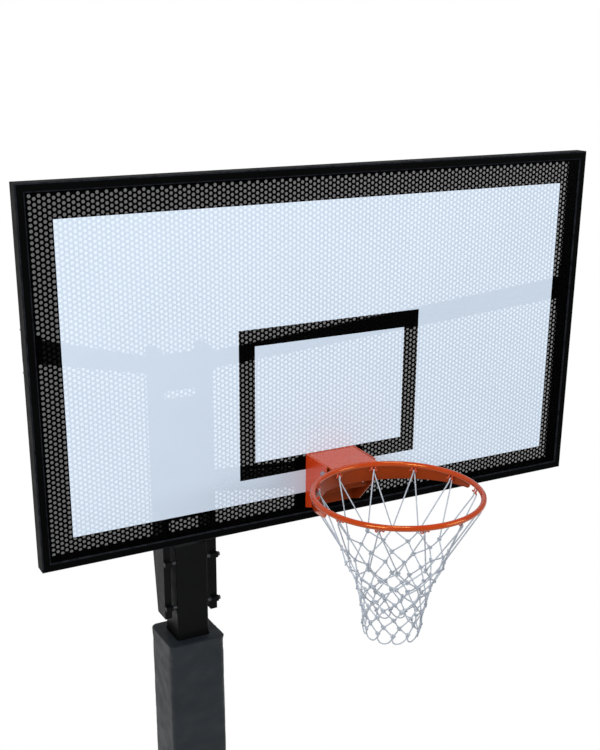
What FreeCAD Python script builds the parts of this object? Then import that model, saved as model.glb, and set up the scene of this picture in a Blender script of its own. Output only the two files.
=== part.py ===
import FreeCAD, Part
import math
import os
import re
import Sketcher
from FreeCAD import Rotation, Vector

# Basketball goal: perforated steel board on a cantilevered mast, with a sprung rim.
# Origin on the ground under the post's axis. +Z up, the board faces -Y. Millimetres.

SIZES = {
    # whole goal
    "rim_height": 3048,  # ground to the top of the ring
    "overhang": 1200,  # post axis to the front of the sheet
    "fit_gap": 0.3,  # running clearance between pieces that move past each other
    "overrun": 5,  # how far a cut runs past the faces it goes through
    # board
    "board_width": 1828.8,
    "board_height": 1066.8,
    "board_drop": 164,  # lower edge of the target square to the lower edge of the board
    "target_line": 50.8,  # width of the painted lines
    "frame_face": 25.4,
    "frame_depth": 50.8,
    "frame_wall": 2,
    "sheet_thick": 1.6,
    "sheet_recess": 5,  # front of the frame to the front of the sheet
    "clip_long": 60,
    "clip_leg": 16,
    "clip_thick": 3,
    "clip_inset": 200,  # board corner to the nearest clip
    # post and base
    "post_side": 140,
    "post_wall": 5,
    "post_corner": 10,
    "post_top": -737,  # from the target square's lower edge
    "cap_thick": 5,
    "cap_plug": 20,
    "base_side": 400,
    "base_thick": 16,
    "anchor_spacing": 300,
    "anchor_hole": 27,
    "gusset_reach": 100,
    "gusset_rise": 100,
    "gusset_thick": 8,
    # pad
    "pad_side_thick": 54.5,
    "pad_front_thick": 50,
    "pad_gap": 101,  # top of the pad to the foot of the mast
    "pad_lift": 14,  # gussets to the foot of the pad
    "pad_round": 20,
    "pad_edge": 9,
    "closure_width": 60,
    "closure_thick": 2,
    # mast, with its heights from the target square's lower edge
    "mast_gap": 18,  # post side to mast tube
    "mast_face": 31,
    "mast_depth": 118,
    "mast_wall": 3,
    "mast_set": 9,  # mast axis behind the post axis
    "mast_foot": -1067,
    "mast_top": 88,
    "mast_toe_rise": 270,  # height of the tapered stretch at the foot
    "mast_toe_reach": 34,  # how far the rear edge comes forward along it
    "mast_cap_thick": 4,
    "web_thick": 6,
    "head_foot": -90,
    "head_top": 63,
    "web_foot": -486,
    "web_top": -122,
    "tie_foot": -650,
    "tie_top": -517,
    "mast_bolt_low": -1014,
    "mast_bolt_high": -810,
    "mast_bolt_set": -57,  # in front of the mast tubes and just behind the post's front wall
    "mast_bolt": 12,
    "ear_tall": 20,
    "ear_deep": 20,
    "spacer_wall": 2.5,
    "bolt_tail": 3,  # thread beyond the smaller nuts
    "hole_slack": 0.5,  # how much wider a bolt's hole is than the bolt
    # arms, with their heights from the target square's lower edge
    "upper_arm_wide": 38,
    "upper_arm_tall": 63.5,
    "upper_arm_wall": 3,
    "upper_arm_foot": 33,  # middle of the arm where it leaves the mast
    "upper_arm_head": 458,  # middle of the arm where it meets the board
    "end_plate_wide": 56,
    "end_plate_inset": 3,  # frame's outer side to the plate's edge
    "end_plate_tall": 150,
    "end_plate_thick": 8,
    "end_bolt": 12,
    "end_bolt_spacing": 118,
    "lower_arm_wide": 30,
    "lower_arm_tall": 63.5,
    "lower_arm_wall": 3,
    "lower_arm_foot": -465,
    "lower_arm_head": -22,
    # rim mounting
    "mount_plate_top": 40,  # above the target square's lower edge
    "mount_plate_foot": 136,  # below the target square's lower edge
    "mount_plate_thick": 8,
    "rim_bolt": 12,
    "rim_bolt_inset": 23,  # bracket's side to the rim bolts
    "rim_bolt_rise": 101.6,
    "rim_bolt_drop": 12,  # upper rim bolts below the rest bar
    "bracket_wide": 168,
    "bracket_drop": 173,
    "bracket_past": 13.6,  # hinge pin to the bracket's front edge
    "bracket_heel": 45,  # sheet to the corner where the sides' lower edges steepen
    "bracket_heel_rise": 14,
    "bracket_nose": 70,  # height of the bracket's front edge
    "bracket_back_thick": 6,
    "bracket_side_thick": 4,
    # rim
    "ring_inside": 457.2,
    "ring_rod": 16,
    "ring_reach": 152.4,  # front of the sheet to the nearest inside edge of the ring
    "top_plate_thick": 6,
    "top_plate_set": 1,  # top plate below the top of the ring
    "top_plate_gap": 2,  # rear edge of the top plate to the bracket's back
    "top_plate_play": 3.0,  # each side of the top plate to the bracket's side
    "pin_setback": 22,  # hinge pin behind the ring
    "pin_bolt": 12,
    "pin_play": 0.05,  # radial clearance of the pin in its bushes
    "bush_wall": 3,
    "bush_long": 24,
    "barrel_wall": 3,
    "lug_thick": 8,
    "lug_reach": 20,
    "lug_inset": 6,  # bracket's side to the lug
    "lug_drop": 20,
    "stop_bar_rise": 40,
    "stop_bar_drop": 32,  # top of the stop bar below the pin's axis
    "stop_bar_thick": 6,
    "rest_bar_wide": 120,
    "rest_bar_reach": 20,
    "rest_bar_thick": 10,
    "buffer_thick": 4,
    "band_thick": 5,
    "band_drop": 51,  # lower edge of the band below the ring's axis, at the rear
    "band_tip": 24,  # the same at the ring's sides, where the band is narrower
    "band_corner": 10,
    # springs
    "spring_wire": 6,
    "spring_gap": 0.8,  # between one turn and the next, along the pin
    "coil_clear": 1.65,  # barrel to the inside of the coil
    "spring_turns": 4,
    "spring_side_gap": 4.1,  # coil's outer end to the lug
    "spring_front_leg": 18,
    "spring_rear_leg": 58,
    # hooks and net
    "hook_count": 12,
    "hook_wire": 4,
    "hook_loop": 6,
    "net_drop": 439,  # ring's axis to the lowest loop
    "net_cord": 5,
    "net_rows": 9,
}

# Net profile below the hooks: drop under the ring's axis as a share of net_drop, and radius
# as a share of the ring's radius.
NET_PROFILE_SHARES = [
    (0.39, 0.64),
    (0.54, 0.53),
    (0.68, 0.44),
    (0.80, 0.39),
    (1.00, 0.34),
]
HEX_SHARE = 1.5  # width across the flats of a hexagon, as a share of the thread
HEAD_HEIGHT_SHARE = 0.65
NUT_HEIGHT_SHARE = 0.8
WASHER_WIDTH_SHARE = 2.0
WASHER_THICK_SHARE = 0.16
WAIST_SHARE = 1.15  # height of an end plate's waist, as a share of the arm's height
UPRIGHT_SHARE = 0.999  # an edge counts as upright when Z makes up at least this share of its way
BAND_SWEEP = 186  # degrees of the ring that the wrap band covers
HOOK_OPEN = 60  # degrees left open in each hook's loop

# Places that many pieces share, as expressions of the sizes.
FACE = "(-overhang)"
TARGET = "(rim_height - target_line)"
BOARD_FOOT = f"({TARGET} - board_drop)"
BOARD_TOP = f"({BOARD_FOOT} + board_height)"
FRAME_BACK = f"({FACE} - sheet_recess + frame_depth)"
SHEET_BACK = f"({FACE} + sheet_thick)"
MAST_IN = "(post_side / 2 + mast_gap)"
MAST_OUT = "(post_side / 2 + mast_gap + mast_face)"
MAST_MIDDLE = "(post_side / 2 + mast_gap + mast_face / 2)"
MAST_FRONT = "(mast_set - mast_depth / 2)"
PAD_TOP = f"({TARGET} + mast_foot - pad_gap)"
PAD_FOOT = "(base_thick + gusset_rise + pad_lift)"
MOUNT_BACK = f"({SHEET_BACK} + mount_plate_thick)"
RING_RADIUS = "((ring_inside + ring_rod) / 2)"
RING_Y = f"({FACE} - ring_reach - ring_inside / 2)"
RING_Z = "(rim_height - ring_rod / 2)"
PLATE_TOP = "(rim_height - top_plate_set)"
PLATE_FOOT = "(rim_height - top_plate_set - top_plate_thick)"
CHANNEL_INSIDE = "(bracket_wide / 2 - bracket_side_thick)"
LUG_INSIDE = f"({CHANNEL_INSIDE} - lug_inset - lug_thick)"
COIL_LENGTH = "((spring_turns + 0.25) * (spring_wire + spring_gap))"
SPRING_INNER_END = f"({LUG_INSIDE} - spring_side_gap - spring_wire / 2 - {COIL_LENGTH})"
REST_FOOT = f"({PLATE_FOOT} - buffer_thick - rest_bar_thick)"
BARREL_RADIUS = "(pin_bolt / 2 + pin_play + bush_wall + barrel_wall)"
COIL_RADIUS = f"({BARREL_RADIUS} + coil_clear + spring_wire / 2)"
PIN_Y = f"({FACE} - ring_reach + ring_rod + pin_setback)"
PIN_Z = f"({PLATE_FOOT} - fit_gap - spring_wire / 2 - {COIL_RADIUS})"
HOOK_SEAT = "sqrt(pow(ring_rod / 2 + hook_wire / 2 + pin_play; 2) - pow(ring_rod / 2; 2))"
HOOK_Z = f"({RING_Z} - hook_loop - {HOOK_SEAT})"
SIDES = (("left", -1), ("right", 1))
TURNS = {"x": Rotation(Vector(0, 1, 0), 90), "y": Rotation(Vector(1, 0, 0), -90), "z": Rotation()}
FORWARD = Rotation(Vector(1, 0, 0), 90)
TOWARDS_LEFT = Rotation(Vector(0, 1, 0), -90)

doc = FreeCAD.newDocument("Goal")
sheet = doc.addObject("Spreadsheet::Sheet", "Sizes")
nodes = []


def fill_sheet():
    for row, (name, value) in enumerate(SIZES.items(), start=1):
        sheet.set(f"A{row}", name)
        sheet.set(f"B{row}", str(value))
        sheet.setAlias(f"B{row}", name)
    doc.recompute()


def size(name):
    return float(sheet.get(name))


def bound(text):
    return re.sub("[a-z_]+", lambda word: "Sizes." + word[0] if word[0] in SIZES else word[0], text)


def above_target(name):
    return f"({TARGET} + {name})"


def bind(obj, prop, text):
    obj.setExpression(prop, bound(text))


def put(obj, x="0", y="0", z="0"):
    bind(obj, "Placement.Base.x", x)
    bind(obj, "Placement.Base.y", y)
    bind(obj, "Placement.Base.z", z)
    return obj


def node(obj, label):
    obj.Label = label
    nodes.append(obj)
    return obj


# Primitives


def box(name, across, along, up, x, y, z):
    obj = doc.addObject("Part::Box", name)
    bind(obj, "Length", across)
    bind(obj, "Width", along)
    bind(obj, "Height", up)
    return put(obj, x, y, z)


def cylinder(name, radius, length, axis, x="0", y="0", z="0"):
    obj = doc.addObject("Part::Cylinder", name)
    bind(obj, "Radius", radius)
    bind(obj, "Height", length)
    obj.Placement.Rotation = TURNS[axis]
    return put(obj, x, y, z)


def cut(name, base, *tools):
    obj = doc.addObject("Part::Cut", name)
    obj.Base = base
    obj.Tool = tools[0] if len(tools) == 1 else group(name + "_tools", tools)
    return obj


def group(name, members):
    obj = doc.addObject("Part::Compound", name)
    obj.Links = list(members)
    return obj


def pipe(name, outer, inner, length, axis, x="0", y="0", z="0"):
    wall = cylinder(name + "_outer", outer, length, "z")
    hole = cylinder(name + "_inner", inner, f"{length} + 2 * overrun", "z", z="-overrun")
    obj = cut(name, wall, hole)
    obj.Placement.Rotation = TURNS[axis]
    return put(obj, x, y, z)


def hexagon(name, thread, height_share, z):
    obj = doc.addObject("Part::Prism", name)
    obj.Polygon = 6
    bind(obj, "Circumradius", f"{thread} * {HEX_SHARE} / 2 / cos(30)")
    bind(obj, "Height", f"{thread} * {height_share}")
    return put(obj, z=z)


def bolt(name, thread, length, rotation, x, y, z):
    # The head's seat is at the given place, and the shank runs along the rotated +Z.
    head = hexagon(name + "_head", thread, HEAD_HEIGHT_SHARE, f"-{thread} * {HEAD_HEIGHT_SHARE}")
    shank = cylinder(name + "_shank", f"{thread} / 2", length, "z")
    obj = doc.addObject("Part::Fuse", name)
    obj.Base = head
    obj.Tool = shank
    obj.Placement.Rotation = rotation
    return put(obj, x, y, z)


def nut(name, thread, rotation, x, y, z):
    body = hexagon(name + "_body", thread, NUT_HEIGHT_SHARE, "0")
    hole = cylinder(name + "_hole", f"{thread} / 2", f"{thread} + 2 * overrun", "z", z="-overrun")
    obj = cut(name, body, hole)
    obj.Placement.Rotation = rotation
    return put(obj, x, y, z)


def washer(name, thread, axis, x, y, z):
    outer = f"{thread} * {WASHER_WIDTH_SHARE} / 2"
    inner = f"({thread} + hole_slack) / 2"
    return pipe(name, outer, inner, f"{thread} * {WASHER_THICK_SHARE}", axis, x, y, z)


# Sketched bodies


def new_body(name):
    return doc.addObject("PartDesign::Body", name)


def new_sketch(body, name, plane):
    sketch = body.newObject("Sketcher::SketchObject", name)
    support = next(f for f in body.Origin.OriginFeatures if f.Role == plane)
    sketch.AttachmentSupport = [(support, "")]
    sketch.MapMode = "FlatFace"
    return sketch


def pin_point(sketch, line, u, v, start):
    for kind, text, value in (("DistanceX", u, start.x), ("DistanceY", v, start.y)):
        index = sketch.addConstraint(Sketcher.Constraint(kind, -1, 1, line, 1, value))
        sketch.setExpression(f"Constraints[{index}]", bound(text))


def add_outline(sketch, points):
    # Lines start on a unit circle, and the constraints carry them to their places.
    count = len(points)
    first = sketch.GeometryCount
    start = [Vector(math.cos(math.tau * i / count), math.sin(math.tau * i / count), 0) for i in range(count)]
    for i in range(count):
        sketch.addGeometry(Part.LineSegment(start[i], start[(i + 1) % count]), False)
    for i in range(count):
        sketch.addConstraint(Sketcher.Constraint("Coincident", first + i, 2, first + (i + 1) % count, 1))
    for i, (u, v) in enumerate(points):
        pin_point(sketch, first + i, u, v, start[i])


def add_circle(sketch, radius, u, v):
    index = sketch.addGeometry(Part.Circle(Vector(0, 0, 0), Vector(0, 0, 1), 1), False)
    limit = sketch.addConstraint(Sketcher.Constraint("Radius", index, 1))
    sketch.setExpression(f"Constraints[{limit}]", bound(radius))
    for kind, text in (("DistanceX", u), ("DistanceY", v)):
        limit = sketch.addConstraint(Sketcher.Constraint(kind, -1, 1, index, 3, 1))
        sketch.setExpression(f"Constraints[{limit}]", bound(text))


def rectangle(low_u, high_u, low_v, high_v):
    return [(low_u, low_v), (high_u, low_v), (high_u, high_v), (low_u, high_v)]


def pad(body, sketch, length, symmetric=False):
    feature = body.newObject("PartDesign::Pad", sketch.Name + "_pad")
    feature.Profile = sketch
    feature.SideType = "Symmetric" if symmetric else "One side"
    bind(feature, "Length", length)
    doc.recompute()
    return feature


def pocket(body, sketch, length=None):
    # Cuts to both sides of the sketch: right through, or half the length each way.
    doc.recompute()
    before = body.Shape.Volume
    feature = body.newObject("PartDesign::Pocket", sketch.Name + "_pocket")
    feature.Profile = sketch
    feature.SideType = "Symmetric"
    if length:
        bind(feature, "Length", length)
    else:
        feature.Type = "ThroughAll"
    doc.recompute()
    if body.Shape.Volume >= before:
        raise ValueError(sketch.Name + " cut nothing")


def fillet(body, name, radius, pick):
    doc.recompute()
    base = body.Tip
    names = [f"Edge{i}" for i, edge in enumerate(base.Shape.Edges, start=1) if pick(edge)]
    feature = body.newObject("PartDesign::Fillet", name)
    feature.Base = (base, names)
    bind(feature, "Radius", radius)
    doc.recompute()


def is_upright(edge):
    ends = [vertex.Point for vertex in edge.Vertexes]
    return len(ends) == 2 and abs((ends[1] - ends[0]).normalize().z) > UPRIGHT_SHARE


# Board


def frame_tube(label, outline, hollow_plane, hollow, bolt_places=()):
    # The outline is seen from the front, with mitred ends. The hollow runs along the tube.
    body = new_body(label)
    put(body, y=FRAME_BACK)
    front = new_sketch(body, label + "_outline", "XZ_Plane")
    add_outline(front, outline)
    pad(body, front, "frame_depth")
    section = new_sketch(body, label + "_hollow", hollow_plane)
    add_outline(section, hollow)
    pocket(body, section)
    if bolt_places:
        holes = new_sketch(body, label + "_holes", "XZ_Plane")
        for x, z in bolt_places:
            add_circle(holes, "(end_bolt + hole_slack) / 2", x, z)
        pocket(body, holes, "2 * frame_wall + 2 * overrun")
    node(body, label)


def make_frame():
    half = "board_width / 2"
    low, high = "frame_wall - frame_depth", "-frame_wall"
    for label, edge, turn in (("frame_top_tube", BOARD_TOP, -1), ("frame_bottom_tube", BOARD_FOOT, 1)):
        inner = f"{edge} + {turn} * frame_face"
        outline = [(f"-{half}", edge), (half, edge), (f"{half} - frame_face", inner)]
        outline.append((f"frame_face - {half}", inner))
        near = f"{edge} + {turn} * frame_wall"
        far = f"{edge} + {turn} * (frame_face - frame_wall)"
        frame_tube(label, outline, "YZ_Plane", rectangle(low, high, near, far))
    for side, turn in SIDES:
        edge, inner = f"{turn} * {half}", f"{turn} * ({half} - frame_face)"
        outline = [(edge, BOARD_FOOT), (edge, BOARD_TOP), (inner, f"{BOARD_TOP} - frame_face")]
        outline.append((inner, f"{BOARD_FOOT} + frame_face"))
        near, far = f"{turn} * ({half} - frame_wall)", f"{turn} * ({half} - frame_face + frame_wall)"
        hollow = rectangle(near, far, low, high)
        frame_tube(f"frame_{side}_tube", outline, "XY_Plane", hollow, end_bolt_places(turn))


def end_bolt_places(turn):
    x = f"{turn} * (board_width - frame_face) / 2"
    return [(x, f"{above_target('upper_arm_head')} + {way} * end_bolt_spacing / 2") for way in (-1, 1)]


def rim_bolt_places():
    upper = f"({REST_FOOT} - rim_bolt_drop)"
    return [(f"{turn} * ({CHANNEL_INSIDE} - rim_bolt_inset)", height)
            for _, turn in SIDES for height in (upper, f"({upper} - rim_bolt_rise)")]


def bolted_plate(label, outline, thick, back, holes, hole_width):
    # An upright plate that faces the front, with round holes.
    body = new_body(label)
    put(body, y=back)
    front = new_sketch(body, label + "_outline", "XZ_Plane")
    add_outline(front, outline)
    for x, z in holes:
        add_circle(front, f"({hole_width} + hole_slack) / 2", x, z)
    pad(body, front, thick)
    node(body, label)


def make_sheet():
    half = "(board_width / 2 - frame_face)"
    foot, top = f"{BOARD_FOOT} + frame_face", f"{BOARD_TOP} - frame_face"
    outline = rectangle(f"-{half}", half, foot, top)
    bolted_plate("perforated_sheet", outline, "sheet_thick", SHEET_BACK, rim_bolt_places(), "rim_bolt")


def make_clips():
    # Flat tabs on the frame tubes' inner walls, behind the sheet's rim.
    clips = []
    wall = "(board_width / 2 - frame_face)"
    for _, turn in SIDES:
        x = f"{turn} * {wall} - {(1 + turn) // 2} * clip_thick"
        for z in (f"{BOARD_FOOT} + clip_inset", f"{BOARD_TOP} - clip_inset - clip_long"):
            name = f"clip_{len(clips)}"
            clips.append(box(name, "clip_thick", "clip_leg", "clip_long", x, SHEET_BACK, z))
        for z in (f"{BOARD_FOOT} + frame_face", f"{BOARD_TOP} - frame_face - clip_thick"):
            name = f"clip_{len(clips)}"
            along = f"{turn} * board_width / 4 - clip_long / 2"
            clips.append(box(name, "clip_long", "clip_leg", "clip_thick", along, SHEET_BACK, z))
    node(group("sheet_clips", clips), "sheet_clips")


# Post, base and pad


def make_base():
    half = "base_side / 2"
    body = new_body("base_plate")
    plan = new_sketch(body, "base_plan", "XY_Plane")
    add_outline(plan, rectangle(f"-{half}", half, f"-{half}", half))
    for turn in (-1, 1):
        for way in (-1, 1):
            add_circle(plan, "anchor_hole / 2", f"{turn} * anchor_spacing / 2", f"{way} * anchor_spacing / 2")
    pad(body, plan, "base_thick")
    node(body, "base_plate")
    gussets = []
    for quarter in range(4):
        gusset = new_body(f"gusset_{quarter}")
        side = new_sketch(gusset, f"gusset_{quarter}_side", "XZ_Plane")
        start, foot = "post_side / 2", "base_thick"
        corners = [(start, foot), (f"{start} + gusset_reach", foot), (start, f"{foot} + gusset_rise")]
        add_outline(side, corners)
        pad(gusset, side, "gusset_thick", symmetric=True)
        gusset.Placement.Rotation = Rotation(Vector(0, 0, 1), 90 * quarter)
        gussets.append(gusset)
    node(group("base_gussets", gussets), "base_gussets")


def square(half):
    return rectangle(f"-({half})", half, f"-({half})", half)


def make_post():
    body = new_body("post_tube")
    put(body, z="base_thick")
    plan = new_sketch(body, "post_plan", "XY_Plane")
    add_outline(plan, square("post_side / 2"))
    pad(body, plan, f"{above_target('post_top')} - cap_thick - base_thick")
    fillet(body, "post_corners", "post_corner", is_upright)
    hollow = new_sketch(body, "post_hollow", "XY_Plane")
    add_outline(hollow, square("post_side / 2 - post_wall"))
    pocket(body, hollow)
    inside = (size("post_side") - size("post_wall")) / 2
    fillet(body, "post_inner_corners", "post_corner - post_wall",
           lambda edge: is_upright(edge) and max(abs(edge.Vertexes[0].X), abs(edge.Vertexes[0].Y)) < inside)
    holes = new_sketch(body, "post_bolt_holes", "YZ_Plane")
    for height in ("mast_bolt_low", "mast_bolt_high"):
        add_circle(holes, "(mast_bolt + hole_slack) / 2", "mast_bolt_set",
                   f"{above_target(height)} - base_thick")
    pocket(body, holes)
    node(body, "post_tube")


def make_post_cap():
    body = new_body("post_cap")
    put(body, z=f"{above_target('post_top')} - cap_thick")
    plate = new_sketch(body, "cap_plate", "XY_Plane")
    add_outline(plate, square("post_side / 2"))
    pad(body, plate, "cap_thick")
    fillet(body, "cap_corners", "post_corner", is_upright)
    plug = new_sketch(body, "cap_plug_plan", "XY_Plane")
    add_outline(plug, square("post_side / 2 - post_wall - fit_gap"))
    pad(body, plug, "cap_plug").Reversed = True
    foot = -size("fit_gap")
    fillet(body, "plug_corners", "post_corner",
           lambda edge: is_upright(edge) and min(v.Z for v in edge.Vertexes) < foot)
    node(body, "post_cap")


def make_pad():
    body = new_body("post_pad")
    put(body, z=PAD_FOOT)
    plan = new_sketch(body, "pad_plan", "XY_Plane")
    half_wide, half_deep = "(post_side / 2 + pad_side_thick)", "(post_side / 2 + pad_front_thick)"
    add_outline(plan, rectangle(f"-{half_wide}", half_wide, f"-{half_deep}", half_deep))
    pad(body, plan, f"{PAD_TOP} - {PAD_FOOT}")
    fillet(body, "pad_corners", "pad_round", is_upright)
    fillet(body, "pad_edges", "pad_edge", lambda edge: not is_upright(edge))
    hole = new_sketch(body, "pad_hole", "XY_Plane")
    add_outline(hole, square("post_side / 2 + fit_gap"))
    pocket(body, hole)
    node(body, "post_pad")
    strip = box("pad_closure", "closure_width", "closure_thick", f"{PAD_TOP} - {PAD_FOOT} - 2 * pad_round",
                "-closure_width / 2", half_deep, f"{PAD_FOOT} + pad_round")
    node(strip, "pad_closure")


# Mast


def mast_outline(front, rear, foot, top):
    # Seen from the side, the rear edge comes forward towards the foot.
    toe = [(f"{rear} - mast_toe_reach", foot), (rear, f"{foot} + mast_toe_rise")]
    return [(front, foot)] + toe + [(rear, top), (front, top)]


def make_mast():
    front, rear = MAST_FRONT, "(mast_set + mast_depth / 2)"
    foot, top = above_target("mast_foot"), f"{above_target('mast_top')} - mast_cap_thick"
    caps = []
    for side, turn in SIDES:
        body = new_body(f"mast_{side}_tube")
        put(body, x=f"{turn} * {MAST_MIDDLE}")
        profile = new_sketch(body, f"mast_{side}_profile", "YZ_Plane")
        add_outline(profile, mast_outline(front, rear, foot, top))
        pad(body, profile, "mast_face", symmetric=True)
        hollow = new_sketch(body, f"mast_{side}_hollow", "YZ_Plane")
        add_outline(hollow, mast_outline(f"({front} + mast_wall)", f"({rear} - mast_wall)", foot, top))
        pocket(body, hollow, "mast_face - 2 * mast_wall")
        node(body, f"mast_{side}_tube")
        corner = f"{turn} * {MAST_MIDDLE} - mast_face / 2"
        caps.append(box(f"mast_{side}_cap", "mast_face", "mast_depth", "mast_cap_thick", corner, front, top))
    node(group("mast_caps", caps), "mast_caps")


def make_mast_plates():
    for name in ("head", "web", "tie"):
        rise = f"{name}_top - {name}_foot"
        plate = box(f"mast_{name}_plate", f"2 * {MAST_IN}", "web_thick", rise,
                    f"-{MAST_IN}", "mast_set - web_thick / 2", above_target(f"{name}_foot"))
        node(plate, f"mast_{name}_plate")


def mast_ear(name, height, turn, hole_radius):
    # A block on a mast tube's front face, with a cross hole for the bolt.
    corner = f"{turn} * {MAST_MIDDLE} - mast_face / 2"
    block = box(name + "_block", "mast_face", "ear_deep", "ear_tall", corner, f"{MAST_FRONT} - ear_deep",
                f"{above_target(height)} - ear_tall / 2")
    hole = cylinder(name + "_hole", hole_radius, "mast_face + 2 * overrun", "x", f"{corner} - overrun",
                    "mast_bolt_set", above_target(height))
    return cut(name, block, hole)


def make_mast_fixings():
    # Bolts go in from the right, through the post, and are threaded into the left ears.
    loose, threaded = "(mast_bolt + hole_slack) / 2", "mast_bolt / 2"
    washer_thick = f"mast_bolt * {WASHER_THICK_SHARE}"
    length = f"2 * {MAST_OUT} + {washer_thick}"
    bolts, ears, washers, spacers = [], [], [], []
    for height in ("mast_bolt_low", "mast_bolt_high"):
        place = ("mast_bolt_set", above_target(height))
        seat = f"{MAST_OUT} + {washer_thick}"
        bolts.append(bolt(height + "_bolt", "mast_bolt", length, TOWARDS_LEFT, seat, *place))
        washers.append(washer(height + "_washer", "mast_bolt", "x", MAST_OUT, *place))
        for (side, turn), hole in zip(SIDES, (threaded, loose)):
            ears.append(mast_ear(f"{height}_{side}_ear", height, turn, hole))
        for number, x in enumerate((f"-{MAST_IN}", "post_side / 2")):
            outer = f"{loose} + spacer_wall"
            spacers.append(pipe(f"{height}_spacer_{number}", outer, loose, "mast_gap", "x", x, *place))
    for label, members in (("mast_bolts", bolts), ("mast_ears", ears), ("mast_washers", washers)):
        node(group(label, members), label)
    node(group("mast_spacers", spacers), "mast_spacers")


# Arms


def arm_tube(body, name, plane, run, rise, tall, wide, wall, past, start="0", foot="0"):
    # A sloping tube: its side view is a parallelogram with upright ends.
    slope = f"(({rise}) / ({run}))"
    half = f"({tall} * sqrt(1 + {slope} * {slope}) / 2)"
    bore = f"(({tall} / 2 - {wall}) * sqrt(1 + {slope} * {slope}))"
    for part, reach in (("outside", half), ("bore", bore)):
        sketch = new_sketch(body, f"{name}_{part}", plane)
        near, far = f"{start} - {past}", f"{start} + {run} + {past}"
        low, high = f"{foot} - {past} * {slope}", f"{foot} + {rise} + {past} * {slope}"
        add_outline(sketch, [(near, f"{low} - {reach}"), (far, f"{high} - {reach}"),
                             (far, f"{high} + {reach}"), (near, f"{low} + {reach}")])
        if part == "outside":
            pad(body, sketch, wide, symmetric=True)
        else:
            pocket(body, sketch, f"{wide} - 2 * {wall}")


def make_upper_arms():
    # Each arm spreads outwards from the mast to a plate on the back of the frame.
    end = f"({FRAME_BACK} + end_plate_thick)"
    across = f"(board_width / 2 - frame_face - {MAST_MIDDLE})"
    along = f"({MAST_FRONT} - {end})"
    turn_in_plan = f"atan2({along}; {across})"
    for side, turn in SIDES:
        body = new_body(f"upper_arm_{side}_stock")
        arm_tube(body, f"upper_arm_{side}", "XZ_Plane", f"hypot({across}; {along})",
                 "upper_arm_head - upper_arm_foot", "upper_arm_tall", "upper_arm_wide", "upper_arm_wall",
                 "upper_arm_wide")
        put(body, f"{turn} * {MAST_MIDDLE}", MAST_FRONT, above_target("upper_arm_foot"))
        angle = f"-{turn_in_plan}" if turn > 0 else f"{turn_in_plan} - 180 deg"
        bind(body, "Placement.Rotation.Angle", angle)
        span = box(f"upper_arm_{side}_span", "2 * board_width", along, BOARD_TOP, "-board_width", end, "0")
        arm = doc.addObject("Part::Common", f"upper_arm_{side}")
        arm.Base = body
        arm.Tool = span
        node(arm, f"upper_arm_{side}")


def end_plate_outline(turn):
    # Two bolt tabs lie behind the frame tube, and a waist behind the sheet carries the arm's end.
    outer = f"{turn} * (board_width / 2 - end_plate_inset)"
    tab = f"{turn} * (board_width / 2 - frame_face)"
    inner = f"{turn} * (board_width / 2 - end_plate_wide)"
    middle = above_target("upper_arm_head")
    low, high = (f"{middle} {sign} end_plate_tall / 2" for sign in "-+")
    waist_low, waist_high = (f"{middle} {sign} upper_arm_tall * {WAIST_SHARE} / 2" for sign in "-+")
    return [(outer, low), (outer, high), (tab, high), (tab, waist_high),
            (inner, waist_high), (inner, waist_low), (tab, waist_low), (tab, low)]


def make_arm_ends():
    bolts, nuts = [], []
    length = f"end_plate_thick + frame_wall + end_bolt * {NUT_HEIGHT_SHARE} + bolt_tail"
    seat = f"{FRAME_BACK} + end_plate_thick"
    for side, turn in SIDES:
        places = end_bolt_places(turn)
        outline = end_plate_outline(turn)
        bolted_plate(f"arm_{side}_end_plate", outline, "end_plate_thick", seat, places, "end_bolt")
        for number, (x, z) in enumerate(places):
            bolts.append(bolt(f"end_{side}_bolt_{number}", "end_bolt", length, FORWARD, x, seat, z))
            inside = f"{FRAME_BACK} - frame_wall"
            nuts.append(nut(f"end_{side}_nut_{number}", "end_bolt", FORWARD, x, inside, z))
    node(group("arm_end_bolts", bolts), "arm_end_bolts")
    node(group("arm_end_nuts", nuts), "arm_end_nuts")


def make_lower_arms():
    run = f"({MAST_FRONT} - {MOUNT_BACK})"
    head = above_target("lower_arm_head")
    for side, turn in SIDES:
        body = new_body(f"lower_arm_{side}")
        put(body, x=f"{turn} * {MAST_MIDDLE}")
        arm_tube(body, f"lower_arm_{side}", "YZ_Plane", run, "lower_arm_foot - lower_arm_head",
                 "lower_arm_tall", "lower_arm_wide", "lower_arm_wall", "0", MOUNT_BACK, head)
        node(body, f"lower_arm_{side}")


# Rim, fixed part


def make_rim_mount():
    half = f"({MAST_MIDDLE} + lower_arm_wide / 2)"
    outline = rectangle(f"-{half}", half, f"{TARGET} - mount_plate_foot", f"{TARGET} + mount_plate_top")
    bolted_plate("rim_mount_plate", outline, "mount_plate_thick", MOUNT_BACK, rim_bolt_places(), "rim_bolt")
    bolts, nuts, washers = [], [], []
    washer_thick = f"rim_bolt * {WASHER_THICK_SHARE}"
    grip = f"bracket_back_thick + sheet_thick + mount_plate_thick + {washer_thick}"
    length = f"{grip} + rim_bolt * {NUT_HEIGHT_SHARE} + bolt_tail"
    for number, (x, z) in enumerate(rim_bolt_places()):
        seat = f"{FACE} - bracket_back_thick"
        bolts.append(bolt(f"rim_bolt_{number}", "rim_bolt", length, TURNS["y"], x, seat, z))
        washers.append(washer(f"rim_washer_{number}", "rim_bolt", "y", x, MOUNT_BACK, z))
        nuts.append(nut(f"rim_nut_{number}", "rim_bolt", TURNS["y"], x, f"{MOUNT_BACK} + {washer_thick}", z))
    for label, members in (("rim_bolts", bolts), ("rim_washers", washers), ("rim_nuts", nuts)):
        node(group(label, members), label)


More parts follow.
